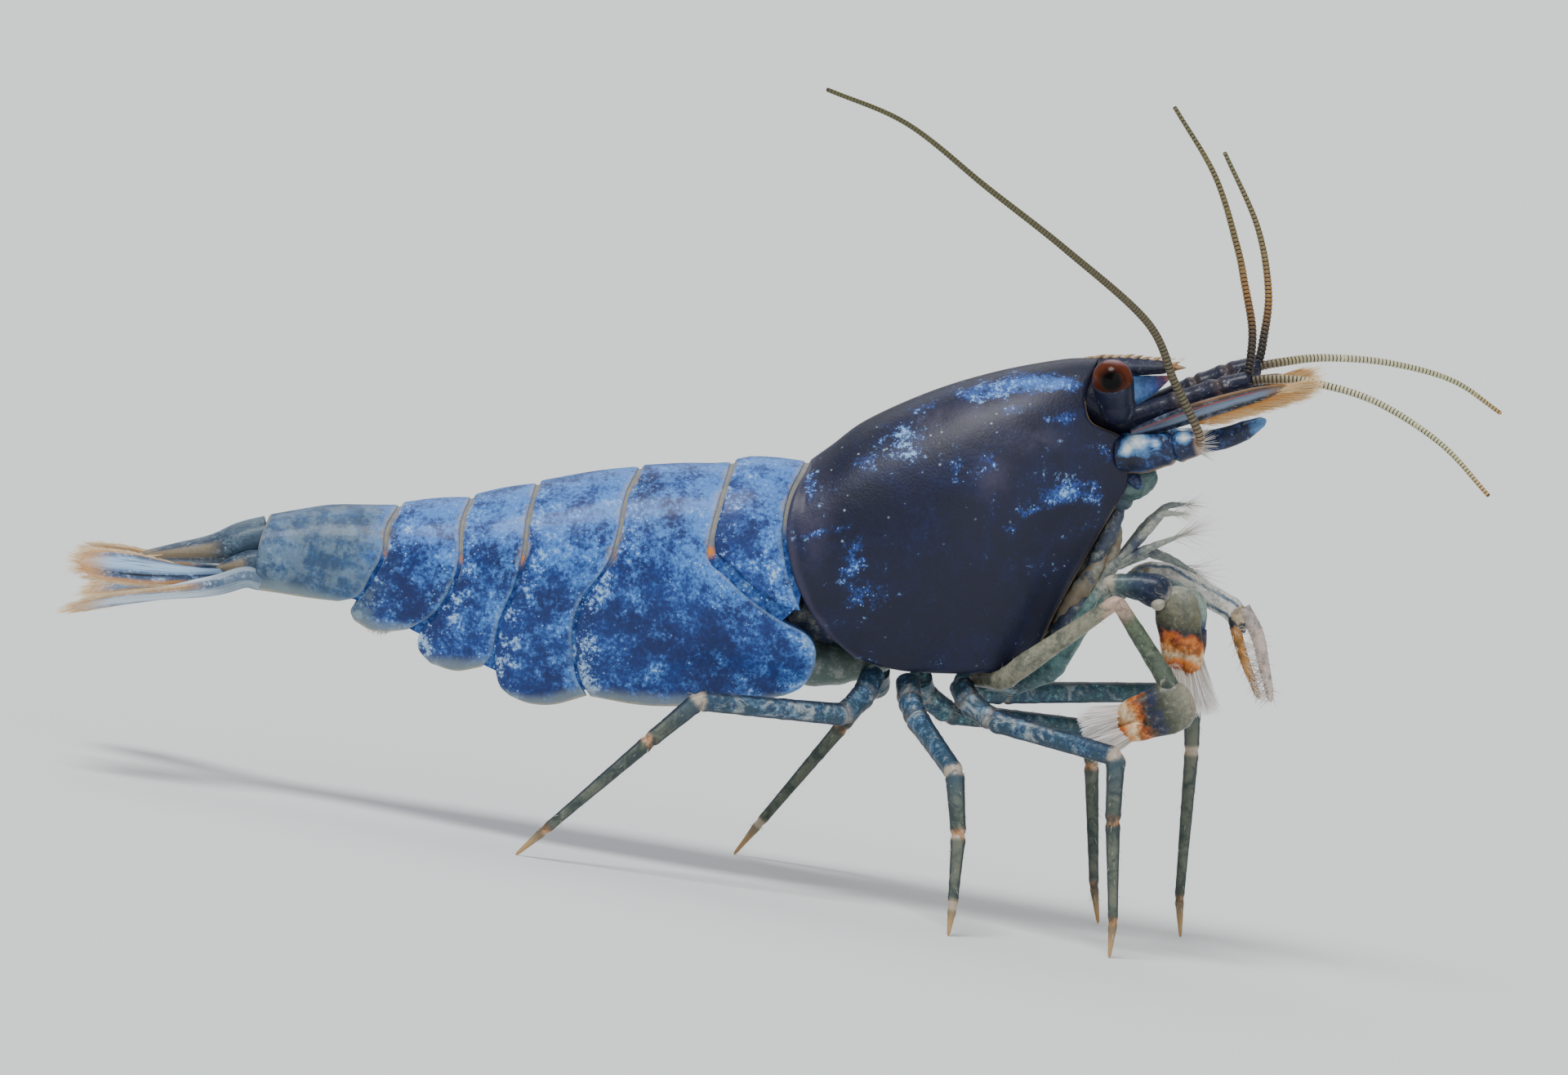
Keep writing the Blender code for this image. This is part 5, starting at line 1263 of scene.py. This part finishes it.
def blade_piece(guides, widths, thicknesses, across, ribs=0.0, count=110, sides=40):
    """A flat blade along a curve: an oval section with a raised rib, and each point's place across it."""
    shares = even_shares(count)
    given = even_shares(len(widths))
    path = curve(guides, shares)
    cap = np.sqrt(np.clip((1.0 - shares) / 0.05, 0.0, 1.0)) * 0.98 + 0.02
    wide = np.interp(shares, given, widths) * cap
    thick = np.interp(shares, given, thicknesses) * cap
    grid = tube(path, wide, thick, across, sides)
    angle = full_turn(sides)
    middle = np.exp(-(np.cos(angle) / 0.16) ** 2)[None, :, None] * ribs
    grid = grid + (grid - path[:, None]) * middle
    return tube_piece(grid, along=shares, across=np.broadcast_to(np.cos(angle), (count, sides)))


def pod_piece(guides, wide, thick, across, folds=0.0, **layers):
    """A rounded lobe along a curve: both radii follow a half circle's height, with faint folds."""
    shares = even_rows(40)
    swell = np.sqrt(np.clip(1.0 - (2.0 * shares - 1.0) ** 2, 0.0004, 1.0))
    swell = swell * (1.0 + folds * np.sin(shares * math.pi * 13.0))
    grid = tube(curve(guides, 0.002 + 0.996 * shares), wide * swell, thick * swell, across, 36)
    return tube_piece(grid, **{name: np.full(40, value) for name, value in layers.items()})


def rim_bristles(guides, widths, across, count, length, width, edges, chance, start=0.45):
    """Bristles from a blade's rims and tip, leaning out by turns and less and less towards the tip.

    `edges` gives the rims: from -1 for one rim to 1 for the other; the tip takes every value between them.
    """
    shares = start + (0.985 - start) * chance.random(count) ** 0.75
    place = edges[0] + (edges[1] - edges[0]) * chance.random(count)
    near_tip = shares > 0.93
    edge = np.where(near_tip, place * 0.9, np.where(place > sum(edges) / 2, edges[1], edges[0]))
    line = curve(guides, even_shares(200))
    ahead = unit(np.gradient(line, axis=0))
    index = (shares * 199).astype(int)
    ahead = ahead[index]
    out = unit(across - ahead * (ahead @ across)[:, None])
    wide = np.interp(shares, even_shares(len(widths)), widths)
    roots = line[index] + out * (edge * wide * 0.86)[:, None]
    lean = edge * (0.8 - 0.34 * shares) + (chance.random(count) - 0.5) * 0.24
    normal = np.cross(ahead, out)
    aims = ahead + out * lean[:, None] + normal * ((chance.random(count) - 0.5) * 0.16)[:, None]
    lengths = length * (0.75 + 0.35 * chance.random(count)) * (0.65 + 0.35 * shares)
    curl = -out * (0.12 * edge)[:, None] + normal * ((chance.random(count) - 0.5) * 0.1)[:, None]
    second = 0.5 + 0.45 * edge / max(1.0, abs(edges[0]), abs(edges[1]))
    spots = np.stack([0.02 + 0.9 * shares, second], axis=1)
    return bristles(roots, aims, lengths, width, curl, np.clip(spots, 0.0, 0.99), chance)


class SHRIMP_OT_tail_fan(PieceOperator, bpy.types.Operator):
    """Make the telson and the four fringed blades of the tail fan."""

    bl_idname = "shrimp.tail_fan"
    bl_label = "Tail fan"

    def execute(self, context):
        chance = np.random.default_rng(31)
        sizes = self.sizes(context)
        width = sizes.bristle_width / MM
        telson = make_blade_material("Telson", (0.025, 0.05, 0.09), (0.15, 0.22, 0.27), (0.26, 0.2, 0.12),
                                     (0.3, 0.2, 0.09), 0.9, 0.3, (0.07, 0.12, 0.17))
        widths = [0.5, 0.55, 0.47, 0.38, 0.22]
        piece = blade_piece(TELSON, widths, [0.48, 0.42, 0.3, 0.2, 0.1], SIDEWAYS, 0.1)
        build("telson_blade", [piece], telson, ["telson"])
        knobs = [blade_piece(on_side(TAIL_KNOB, sign), [0.3, 0.32, 0.24, 0.08], [0.42, 0.38, 0.24, 0.05],
                             SIDEWAYS, 0.0, 50) for side, sign in SIDES]
        build("tail_knobs", knobs, telson)
        amber = make_bristle_material("Tail fringe", (0.66, 0.32, 0.08), (0.9, 0.78, 0.52))
        hair = rim_bristles(TELSON, widths, SIDEWAYS, sizes.fringe_count // 3, 0.42, width, (-1.0, 1.0),
                            chance, 0.8)
        build("telson_fringe", [hair], amber)
        upper = make_blade_material("Inner tail blade", (0.04, 0.08, 0.16), (0.34, 0.52, 0.74),
                                    (0.55, 0.28, 0.08), (0.008, 0.008, 0.02), -0.55, 0.1,
                                    (0.06, 0.12, 0.2))
        lower = make_blade_material("Outer tail blade", (0.1, 0.16, 0.26), (0.6, 0.7, 0.8),
                                    (0.6, 0.34, 0.13), (0.12, 0.2, 0.36), 0.45, -0.35,
                                    (0.1, 0.16, 0.22))
        widths = [0.2, 0.22, 0.26, 0.42, 0.6, 0.62, 0.4]
        thicknesses = [0.2, 0.2, 0.18, 0.13, 0.1, 0.08, 0.05]
        for name, guides in TAIL_BLADES.items():
            material = upper if name == "endopod" else lower
            for side, sign in SIDES:
                path = on_side(guides, sign)
                across = np.array([0.0, -sign, TAIL_TILT[name]])
                piece = blade_piece(path, widths, thicknesses, across, 0.35)
                build(f"tail_{name}_{side}", [piece], material, [f"uropod_{name}_{side}"])
                hair = rim_bristles(path, widths, across, sizes.fringe_count, 0.5, 0.8 * width, (-1.0, 1.0),
                                    chance, 0.42)
                build(f"tail_{name}_fringe_{side}", [hair], amber)
        return {"FINISHED"}


def limb_piece(joints, radii, chance, real=None, sides=24, soften=0.2, closing=0.1, flat_foot=False):
    """A jointed limb: full articles, necked at each joint, with a slightly swollen rim beside the neck.

    The last `closing` millimetres round off, and `edge` grows towards the limb's upper and lower outlines as
    seen from the camera; the limb material paints shade there, and the banded material its side stripes.
    """
    line, near, article = soft_polyline(joints, soften=soften, real=real)
    radius = np.interp(article, np.arange(len(radii)), radii)
    left = (len(line) - 1 - np.arange(len(line))) * LIMB_STEP
    radius = radius * np.sqrt(1.0 - 0.96 * np.clip(1.0 - left / closing, 0.0, 1.0) ** 2)
    body = 1.0 - 0.12 * np.exp(-(near / 0.06) ** 2) + 0.06 * np.exp(-((near - 0.16) / 0.08) ** 2)
    ripple = 1.0 + 0.015 * np.interp(np.arange(len(line)), np.arange(0, len(line), 5),
                                     chance.standard_normal(len(range(0, len(line), 5))))
    radius = radius * body * ripple
    grid = tube(line, radius, radius, sides=sides)
    edge = np.abs(np.sin(full_turn(sides)))
    if flat_foot:
        grid[..., 2] = np.maximum(grid[..., 2], 0.0)
        grid[-1, :, 2] = 0.0
    joint = np.exp(-(near / 0.13) ** 2)
    edge = np.broadcast_to(edge, (len(line), sides))
    return tube_piece(grid, joint=joint, article=article, along=article / (len(radii) - 1), edge=edge)


def limb_hairs(joints, radii, count, length, width, chance, low=1.0, high=None):
    """Short hairs scattered over a limb, leaning towards its tip."""
    line, _, article = soft_polyline(joints)
    high = len(radii) - 1.2 if high is None else high
    wanted = low + (high - low) * chance.random(count)
    index = np.clip(np.searchsorted(article, wanted), 1, len(line) - 2)
    ahead = unit(line[index + 1] - line[index - 1])
    out = unit(np.cross(ahead, chance.standard_normal((count, 3))))
    roots = line[index] + out * (np.interp(wanted, np.arange(len(radii)), radii) * 0.9)[:, None]
    aims = out + ahead * 0.9
    spots = np.stack([0.05 + 0.9 * chance.random(count), 0.05 + 0.9 * chance.random(count)], axis=1)
    lengths = length * (0.5 + 0.7 * chance.random(count))
    return bristles(roots, aims, lengths, width, ahead * 0.2, spots, chance)


class SHRIMP_OT_legs(PieceOperator, bpy.types.Operator):
    """Make the six walking legs with their sparse hairs."""

    bl_idname = "shrimp.legs"
    bl_label = "Walking legs"

    def execute(self, context):
        chance = np.random.default_rng(41)
        colours = self.colours(context)
        near = make_limb_material("Near legs", colours, (0.035, 0.08, 0.11), (0.13, 0.25, 0.36), 0.85)
        # The far legs take a painted-shade copy of the near legs' paint: duller, greener and less marbled
        far = make_limb_material("Far legs in painted shade", colours, (0.035, 0.09, 0.09), (0.1, 0.24, 0.24), 0.5)
        pale = make_bristle_material("Leg hairs", (0.3, 0.27, 0.2), (0.7, 0.68, 0.6))
        hairs = []
        for name, joints in LEGS.items():
            piece = limb_piece(joints, LEG_RADII, chance, soften=0.34, flat_foot=True)
            material = far if name.endswith("left") else near
            build(name + "_skin", [piece], material, [name], recalculate=True)
            hairs.append(limb_hairs(joints, LEG_RADII, 70, 0.17, 0.014, chance, 1.5, 5.4))
        build("walking_leg_hairs", hairs, pale)
        return {"FINISHED"}


def claw_geometry(root, tip, breadth, spread, slant=0.0):
    """A claw's axis, the direction across it and its fingers' paths; a slant shortens the second finger."""
    root = np.array(root, float)
    ahead = np.array(tip, float) - root
    across = unit(np.cross(ahead, SIDEWAYS))
    offsets = [0.44 * breadth, 0.44 * breadth, 0.32 * breadth + 0.05 * spread, 0.14 * breadth + 0.2 * spread]
    fingers = []
    for sign in (1.0, -1.0):
        shares = np.linspace(0.4, FINGERS_END - slant * (1.0 - sign) / 2.0, 4)
        guides = [root + ahead * share + across * sign * offset for share, offset in zip(shares, offsets)]
        fingers.append(curve(guides, even_shares(36)))
    if breadth < 0.35:
        fingers = [curve(guides, even_shares(36)) for guides in SLENDER_FINGERS]
    return root, ahead, across, fingers


class SHRIMP_OT_claws(PieceOperator, bpy.types.Operator):
    """Make the four claw arms: arms, palms, fingers and the brushes at their ends."""

    bl_idname = "shrimp.claws"
    bl_label = "Claws"

    def execute(self, context):
        chance = np.random.default_rng(51)
        sizes = self.sizes(context)
        brush = make_bristle_material("Claw brush", (0.6, 0.52, 0.44), (0.96, 0.94, 0.92))
        pale = make_bristle_material("Arm hairs", (0.4, 0.36, 0.28), (0.8, 0.78, 0.7))
        for name, joints in CLAW_ARMS.items():
            radii = CLAW_ARM_RADII[name]
            arm = limb_piece(joints, radii, chance, CLAW_ARM_JOINTS[name], 32, soften=0.16,
                             closing=1.1 * radii[-1])
            far = name == "cheliped_2_left"
            stripe = (0.16, 0.22, 0.29) if far else None
            parts = [arm]
            if name in WRIST_BALLS:
                ball = [np.array(WRIST_BALLS[name]) + (0.0, 0.0, rise) for rise in (-0.18, 0.0, 0.18)]
                parts.append(pod_piece(ball, 0.18, 0.18, np.array([1.0, 0.0, 0.0]), along=0.505))
            shell = make_banded_material(name + " arm", ARM_BANDS[name], 0.02, stripe=stripe)
            build(name + "_arm", parts, shell, [name], recalculate=True)
            root, ahead, across, fingers = claw_geometry(*CLAWS[name], BAND_SLANT.get(name, 0.0))
            breadth = CLAWS[name][2]
            slender = breadth < 0.35
            reach = 0.27 if slender else 0.58
            stations = np.array([-0.02, 0.0, 0.06, 0.2, 0.45, 0.8, 1.0]) * reach
            shares = np.linspace(stations[0], reach, 60)
            swell = [0.08, 0.4, 0.7] + ([0.85, 0.8, 0.5, 0.1] if slender else [0.97, 1.04, 0.9, 0.4])
            wide = breadth * np.interp(shares, stations, swell)
            thick = (0.26 if slender else 0.35) * np.interp(shares, stations, swell)
            palm = tube_piece(tube(root + ahead * shares[:, None], wide, thick, across, 36), along=shares)
            pieces = [palm]
            for second, path in enumerate(fingers):
                if slender:
                    run = np.linspace(0.16, 1.0, 36)
                    spoon = np.interp(run, [0.16, 0.4, 0.8, 0.97, 1.0], [0.16, 0.145, 0.105, 0.07, 0.01])
                    spoon = spoon * (1.2 if second else 0.95) * (1.0 + 0.05 * np.sin(run * 120.0))
                    grid = tube(path, spoon, spoon, across, 24)
                    pieces.append(tube_piece(grid, along=run, second=np.full(36, 0.85 * second)))
                else:
                    run = np.linspace(0.4, FINGERS_END, 36)
                    stops = [0.4, 0.55, 0.68, 0.75, 0.785, 0.8]
                    spoon = np.interp(run, stops, [0.28, 0.28, 0.25, 0.18, 0.1, 0.02])
                    pieces.append(tube_piece(tube(path, spoon, spoon, across, 28), along=run))
            for piece in pieces:
                aside = (piece["points"] - root) @ across / breadth
                piece["layers"]["along"] = piece["layers"]["along"] - BAND_SLANT.get(name, 0.0) * aside
            paler = (0.62, 0.52, 0.48) if far else None
            shell = make_banded_material(name + " claw", PALM_BANDS[name], 0.1, paler=paler)
            build(name + "_claw", pieces, shell, recalculate=True)
            pieces = []
            count = sizes.brush_count // 6 if slender else sizes.brush_count
            for sign, path in zip((1.0, -1.0), fingers):
                low = 4 if slender else 17
                index = (low + (35 - low) * chance.random(count) ** 0.8).astype(int)
                ring = chance.random(count) * math.tau
                facing = unit(ahead)
                out = np.cos(ring)[:, None] * across + np.sin(ring)[:, None] * SIDEWAYS
                roots = path[index] + out * (0.07 if slender else 0.17)
                lean = (1.2 if slender else 0.26) * chance.random(count)[:, None]
                aims = facing * (0.4 if slender else 1.0) + out * lean
                aims += across * sign * (0.5 if slender else 0.08)
                end = np.linalg.norm(ahead) * (1.06 - (0.4 + 0.4 * index / 35.0))
                lengths = (0.42 if slender else end) * (0.62 + 0.45 * chance.random(count))
                first = 0.02 + 0.46 * (sign > 0) + 0.44 * index / 35.0
                spots = np.stack([first, 0.03 + 0.9 * ring / math.tau], axis=1)
                width = 0.024 if slender else 0.034
                pieces.append(bristles(roots, aims, lengths, width, out * 0.05, spots, chance))
            build(name + "_brush", pieces, brush)
            hair = limb_hairs(joints, radii, 40, 0.16, 0.013, chance, 1.0)
            build(name + "_hairs", [hair], pale)
        return {"FINISHED"}


def feeler_piece(guides, base, tip, ring_length):
    """A ringed feeler: radius falls from base to tip, and swells and narrows once in every ring."""
    line = curve(guides, even_shares(400))
    length = np.linalg.norm(np.diff(line, axis=0), axis=1).sum()
    rings = int(length / ring_length)
    shares = even_shares(rings * 6 + 1)
    phase = (shares * rings) % 1.0
    bulge = np.sqrt(np.clip(1.0 - (2.0 * phase - 1.0) ** 2, 0.0, 1.0))
    radius = (base + (tip - base) * shares) * (0.82 + 0.2 * bulge)
    across = (0.2, 0.3, 0.95) if abs(guides[0][0] - guides[-1][0]) > 3.5 else (0.9, 0.4, 0.1)
    grid = tube(curve(guides, shares), radius, radius, across, 14)
    return tube_piece(grid, ring=bulge, along=shares)


class SHRIMP_OT_feelers(PieceOperator, bpy.types.Operator):
    """Make the six ringed feelers."""

    bl_idname = "shrimp.feelers"
    bl_label = "Feelers"

    def execute(self, context):
        sizes = self.sizes(context)
        base = 0.5 * sizes.feeler_width / MM
        ring = sizes.feeler_ring / MM
        dark = (0.012, 0.01, 0.01)
        upright = make_feeler_material("Upright feelers", [
            (0.0, (0.02, 0.018, 0.02)), (0.14, (0.07, 0.05, 0.03)), (0.3, (0.3, 0.15, 0.045)),
            (0.5, (0.2, 0.15, 0.06)), (1.0, (0.16, 0.15, 0.07))], dark)
        forward = make_feeler_material("Forward feelers", [
            (0.0, (0.08, 0.06, 0.04)), (0.12, (0.36, 0.3, 0.17)), (0.3, (0.62, 0.58, 0.4)),
            (0.8, (0.5, 0.5, 0.28)), (1.0, (0.5, 0.3, 0.1))], (0.03, 0.028, 0.018))
        long_feeler = make_feeler_material("Long feelers", [
            (0.0, (0.34, 0.22, 0.14)), (0.06, (0.13, 0.11, 0.07)), (0.3, (0.12, 0.1, 0.05)),
            (1.0, (0.11, 0.11, 0.04))], (0.035, 0.032, 0.02))
        for name, guides in FEELERS.items():
            material = upright if "upper" in name else forward if "lower" in name else long_feeler
            tip = 0.055
            piece = feeler_piece(guides, base, tip, ring)
            build(name + "_rings", [piece], material, [name], recalculate=True, crease=80.0)
        return {"FINISHED"}


class SHRIMP_OT_head_limbs(PieceOperator, bpy.types.Operator):
    """Make the stalks of the feelers, the antenna bases and the fringed scales beside them."""

    bl_idname = "shrimp.head_limbs"
    bl_label = "Head limbs"

    def execute(self, context):
        chance = np.random.default_rng(61)
        colours = self.colours(context)
        sizes = self.sizes(context)
        width = sizes.bristle_width / MM
        stalk = make_stalk_material(colours)
        glassy = make_glassy_material(colours)
        scale = make_blade_material("Antenna scale", (0.008, 0.009, 0.018), (0.15, 0.2, 0.28),
                                    (0.2, 0.1, 0.035), (0.26, 0.03, 0.015), -0.6, -0.25,
                                    (0.02, 0.028, 0.06))
        amber = make_bristle_material("Scale fringe", (0.62, 0.27, 0.05), (0.93, 0.72, 0.4))
        tan = make_bristle_material("Stalk hairs", (0.16, 0.11, 0.06), (0.5, 0.42, 0.3))
        white = make_bristle_material("White hairs", (0.6, 0.56, 0.48), (0.95, 0.94, 0.9))
        flesh = make_flesh_material()
        for side, sign in SIDES:
            mirror = np.array([1.0, sign, 1.0])
            joints = ANTENNULE_STALKS[side]
            piece = limb_piece(joints, [0.3, 0.31, 0.28, 0.25], chance, soften=0.12)
            build(f"antennule_stalk_{side}", [piece], stalk, [f"antennule_peduncle_{side}"],
                  recalculate=True)
            hair = limb_hairs(joints, [0.3, 0.31, 0.28, 0.25], 90, 0.16, 0.012, chance, 0.4, 2.95)
            build(f"antennule_hairs_{side}", [hair], tan)
            base = limb_piece(ANTENNA_STALKS[side], [0.5, 0.5, 0.38, 0.27], chance, (2,), 40, soften=0.3)
            spot = base["points"][:, [0, 2]]
            # bright: where the base's material paints its glassy highlights
            base["layers"]["bright"] = sum(np.exp(-(((spot - (sx, sz)) / reach) ** 2).sum(axis=1))
                                           for sx, sz, reach in PAINTED_HIGHLIGHT_SPOTS)
            base["layers"]["under"] = np.tile(-np.sin(full_turn(40)), len(spot) // 40)
            pieces = [base] + [pod_piece(on_side(guides, sign), wide, thick, SIDEWAYS, 0.02, lobe=green)
                               for guides, wide, thick, green in ANTENNA_LOBES]
            if side == "left":
                article = blade_piece(FAR_ARTICLE, [0.25, 0.27, 0.27, 0.24, 0.1],
                                      [0.2, 0.2, 0.18, 0.15, 0.06], np.array([0.3, 0.0, -0.9]))
                layers = article["layers"]
                layers["bright"] = 0.7 * np.clip(layers.pop("along") * 2.0 - 1.2, 0.0, 1.0)
                layers.pop("across")
                pieces.append(article)
            build(f"antenna_base_{side}", pieces, glassy, [f"antenna_peduncle_{side}"],
                  recalculate=True)
            end = np.array(ANTENNA_STALKS[side][-1])
            facing = unit(end - np.array(ANTENNA_STALKS[side][-2]))
            spread = unit(np.cross(facing, chance.standard_normal((70, 3))))
            hair = bristles(end - facing * 0.05 + spread * 0.27, facing * 0.9 + spread * 0.7,
                            0.26 + 0.16 * chance.random(70), 0.016, spread * 0.1,
                            0.05 + 0.9 * chance.random((70, 2)), chance)
            build(f"antenna_hairs_{side}", [hair], white)
            across = np.array(SCALE_ACROSS) * mirror
            widths = [0.1, 0.22, 0.27, 0.26, 0.22, 0.08]
            path = [np.array(place) - unit(across) * 0.13 for place in SCALES[side]]
            piece = blade_piece(path, widths, [0.08, 0.12, 0.13, 0.11, 0.09, 0.04], across, 0.3)
            build(f"antenna_scale_{side}", [piece], scale, [f"antennal_scale_{side}"])
            hair = rim_bristles(path, widths, across, 3 * sizes.fringe_count // 2, 1.0, width, (0.1, 1.0),
                                chance, 0.36)
            build(f"antenna_scale_fringe_{side}", [hair], amber)
            radii = [0.2, 0.17, 0.14, 0.1, 0.03][-len(MAXILLIPEDS[side]):]
            palp = [0.1, 0.12, 0.09, 0.025]
            pieces = [limb_piece(MAXILLIPEDS[side], radii, chance), limb_piece(PALPS[side], palp, chance)]
            build(f"mouth_limb_{side}", pieces, flesh, [f"maxilliped_{side}"],
                  recalculate=True)
            hair = [limb_hairs(MAXILLIPEDS[side], radii, 24, 0.24, 0.009, chance, 0.8, len(radii) - 1.4)]
            for path, reach in ((MAXILLIPEDS[side], 1.15), (PALPS[side], 0.55)):
                end = np.array(path[-1])
                facing = unit(end - np.array(path[-2]))
                back = chance.random((64, 1)) * 0.5
                spread = np.stack([np.zeros(64), 0.4 * chance.standard_normal(64),
                                   chance.standard_normal(64)], axis=1)
                hair.append(bristles(end - facing * back, facing + 0.34 * spread,
                                     reach * (0.5 + 0.6 * chance.random(64)),
                                     0.014, 0.08 * spread, 0.05 + 0.9 * chance.random((64, 2)), chance))
            build(f"mouth_hairs_{side}", hair, white)
        return {"FINISHED"}


class SHRIMP_OT_underside(PieceOperator, bpy.types.Operator):
    """Make the mouthparts and breast between the carapace's flaps, and the paddles under the abdomen."""

    bl_idname = "shrimp.underside"
    bl_label = "Underside"

    def execute(self, context):
        chance = np.random.default_rng(71)
        flesh = make_flesh_material()
        for name, swell in (("mouthparts", 0.12), ("thorax_underside", 0.04)):
            low, high = (np.array(corner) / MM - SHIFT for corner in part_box(name))
            count = 80
            shares = even_shares(count)
            if name == "mouthparts":
                guides = [(7.55, 0, 10.75), (7.75, 0, 10.0), (7.45, 0, 8.9), (7.1, 0, 8.0), (6.65, 0, 7.1)]
                wide = np.interp(shares, [0, 0.3, 0.7, 1], [0.25, 0.5, 0.55, 0.5])
                thick = np.interp(shares, [0, 0.2, 0.6, 1], [0.15, 0.32, 0.34, 0.26])
            else:
                guides = [(6.2, 0, 6.75), (5.0, 0, 6.45), (3.6, 0, 6.3), (2.1, 0, 6.3)]
                wide = np.full(count, 0.95)
                thick = np.full(count, 0.42)
            folds = 1.0 + swell * np.sin(shares * math.pi * 9.0)
            end = np.sqrt(np.clip(np.minimum(shares, 1.0 - shares) / 0.05, 0.0, 1.0)) * 0.97 + 0.03
            grid = tube(curve(guides, shares), wide * folds * end, thick * folds * end, sides=40)
            grid = np.clip(grid, low - 0.05, high + 0.05)
            pieces = [tube_piece(grid)]
            if name == "mouthparts":
                pieces += [pod_piece(on_side(guides, sign), wide, thick, SIDEWAYS, 0.07, **{tint: 0.85})
                           for guides, wide, thick, tint in MOUTH_STRIPS for side, sign in SIDES]
            else:
                pieces += [pod_piece(guides, wide, thick, SIDEWAYS, 0.03, **{tint: 0.9})
                           for guides, wide, thick, tint in BELLY]
            build(name + "_skin", pieces, flesh, [name], recalculate=True)
        pale = make_bristle_material("Paddle fringe", (0.25, 0.24, 0.18), (0.6, 0.55, 0.42))
        hairs = []
        for number in range(1, 6):
            for side, sign in SIDES:
                name = f"pleopod_{number}_{side}"
                low, high = (np.array(corner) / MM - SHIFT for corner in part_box(name))
                y = 0.5 * (low[1] + high[1])
                thick = 0.42 * (high[1] - low[1])
                middle = 0.5 * (low + high)
                end = low[2] + min(0.68, 0.6 * (high[2] - low[2]))
                top = high[2] + 0.2
                path = [(middle[0] + 0.2, y, top), (middle[0] + 0.05, y, 0.5 * (top + end)),
                        (middle[0] - 0.1, y, end)]
                across = np.array([1.0, 0.0, 0.1])
                widths = [0.2, 0.3, 0.42, 0.4, 0.26, 0.08]
                depths = thick * np.array([1.0, 1.0, 0.8, 0.6, 0.4, 0.2])
                piece = blade_piece(path, widths, depths, across, 0.2, 60, 28)
                piece["layers"] = {}
                build(f"paddle_{number}_{side}", [piece], flesh, [name])
                hairs.append(rim_bristles(path, widths, across, 120, 0.2, 0.014, (-1.0, 1.0), chance, 0.5))
        build("paddle_fringes", hairs, pale)
        return {"FINISHED"}


class SHRIMP_OT_stage(PieceOperator, bpy.types.Operator):
    """Make the pale floor, the soft studio lights and the camera."""

    bl_idname = "shrimp.stage"
    bl_label = "Stage"

    def execute(self, context):
        scene = context.scene
        mesh = bpy.data.meshes.new("floor")
        reach = 6.0
        corners = [(-reach, -reach, 0), (reach, -reach, 0), (reach, reach, 0), (-reach, reach, 0)]
        mesh.from_pydata(corners, [], [(0, 1, 2, 3)])
        floor = bpy.data.objects.new("floor", mesh)
        scene.collection.objects.link(floor)
        material = bpy.data.materials.new("Pale floor")
        material.use_nodes = True
        shader = material.node_tree.nodes["Principled BSDF"]
        shader.inputs["Base Color"].default_value = (0.84, 0.85, 0.84, 1.0)
        shader.inputs["Roughness"].default_value = 0.8
        mesh.materials.append(material)

        world = bpy.data.worlds.new("Studio")
        world.use_nodes = True
        background = world.node_tree.nodes["Background"]
        background.inputs["Color"].default_value = (0.9, 0.95, 1.0, 1.0)
        background.inputs["Strength"].default_value = 0.42
        scene.world = world
        for name, towards, softness, strength in (
            ("Key", (0.3, 0.42, -1.0), 24.0, 2.7), ("Fill", (-0.5, 0.9, -0.3), 60.0, 0.9),
            ("Rim", (0.2, -0.8, -0.9), 40.0, 0.6),
        ):
            light = bpy.data.lights.new(name, "SUN")
            light.angle = math.radians(softness)
            light.energy = strength
            lamp = bpy.data.objects.new(name, light)
            lamp.rotation_euler = look_angles(towards)
            scene.collection.objects.link(lamp)

        lens = bpy.data.cameras.new("Camera")
        lens.sensor_width = 36.0
        away, seen = 300.0, 38.4
        lens.lens = lens.sensor_width * away / seen
        lens.clip_start = 0.01
        lens.clip_end = 50.0
        camera = bpy.data.objects.new("Camera", lens)
        elevation, roll = math.radians(4.0), math.radians(10.0)
        aim = np.array([-0.04, 0.0, 8.39]) + SHIFT
        back = np.array([0.0, -math.cos(elevation), math.sin(elevation)])
        camera.location = (aim + back * away) * MM
        facing = look_angles(-back).to_matrix()
        camera.rotation_euler = (facing @ Matrix.Rotation(roll, 3, "Z")).to_euler()
        scene.collection.objects.link(camera)
        scene.camera = camera
        return {"FINISHED"}


def look_angles(direction):
    """Euler angles that turn an object's -Z towards a direction, with its +Y up."""
    return Vector(direction).to_track_quat("-Z", "Y").to_euler()


PIECE_OPERATORS = (
    SHRIMP_OT_stage, SHRIMP_OT_carapace, SHRIMP_OT_rostrum, SHRIMP_OT_eyes, SHRIMP_OT_abdomen,
    SHRIMP_OT_tail_fan, SHRIMP_OT_legs, SHRIMP_OT_claws, SHRIMP_OT_feelers, SHRIMP_OT_head_limbs,
    SHRIMP_OT_underside,
)


class SHRIMP_PT_panel(bpy.types.Panel):
    """Sidebar panel with the shrimp's sizes, colours and pieces."""

    bl_idname = "SHRIMP_PT_panel"
    bl_label = "Dwarf shrimp"
    bl_space_type = "VIEW_3D"
    bl_region_type = "UI"
    bl_category = "Shrimp"

    def draw(self, context):
        layout = self.layout
        for settings in (context.scene.shrimp_sizes, context.scene.shrimp_colours):
            for name in settings.__annotations__:
                layout.prop(settings, name)
        for piece in PIECE_OPERATORS:
            layout.operator(piece.bl_idname)


CLASSES = (ShrimpSizes, ShrimpColours, *PIECE_OPERATORS, SHRIMP_PT_panel)


def register():
    for item in CLASSES:
        bpy.utils.register_class(item)
    bpy.types.Scene.shrimp_sizes = PointerProperty(type=ShrimpSizes)
    bpy.types.Scene.shrimp_colours = PointerProperty(type=ShrimpColours)


def unregister():
    del bpy.types.Scene.shrimp_colours
    del bpy.types.Scene.shrimp_sizes
    for item in reversed(CLASSES):
        bpy.utils.unregister_class(item)


def main():
    register()
    make_pigment_group()
    for piece in PIECE_OPERATORS:
        group, name = piece.bl_idname.split(".")
        getattr(getattr(bpy.ops, group), name)()


if __name__ == "__main__":
    main()
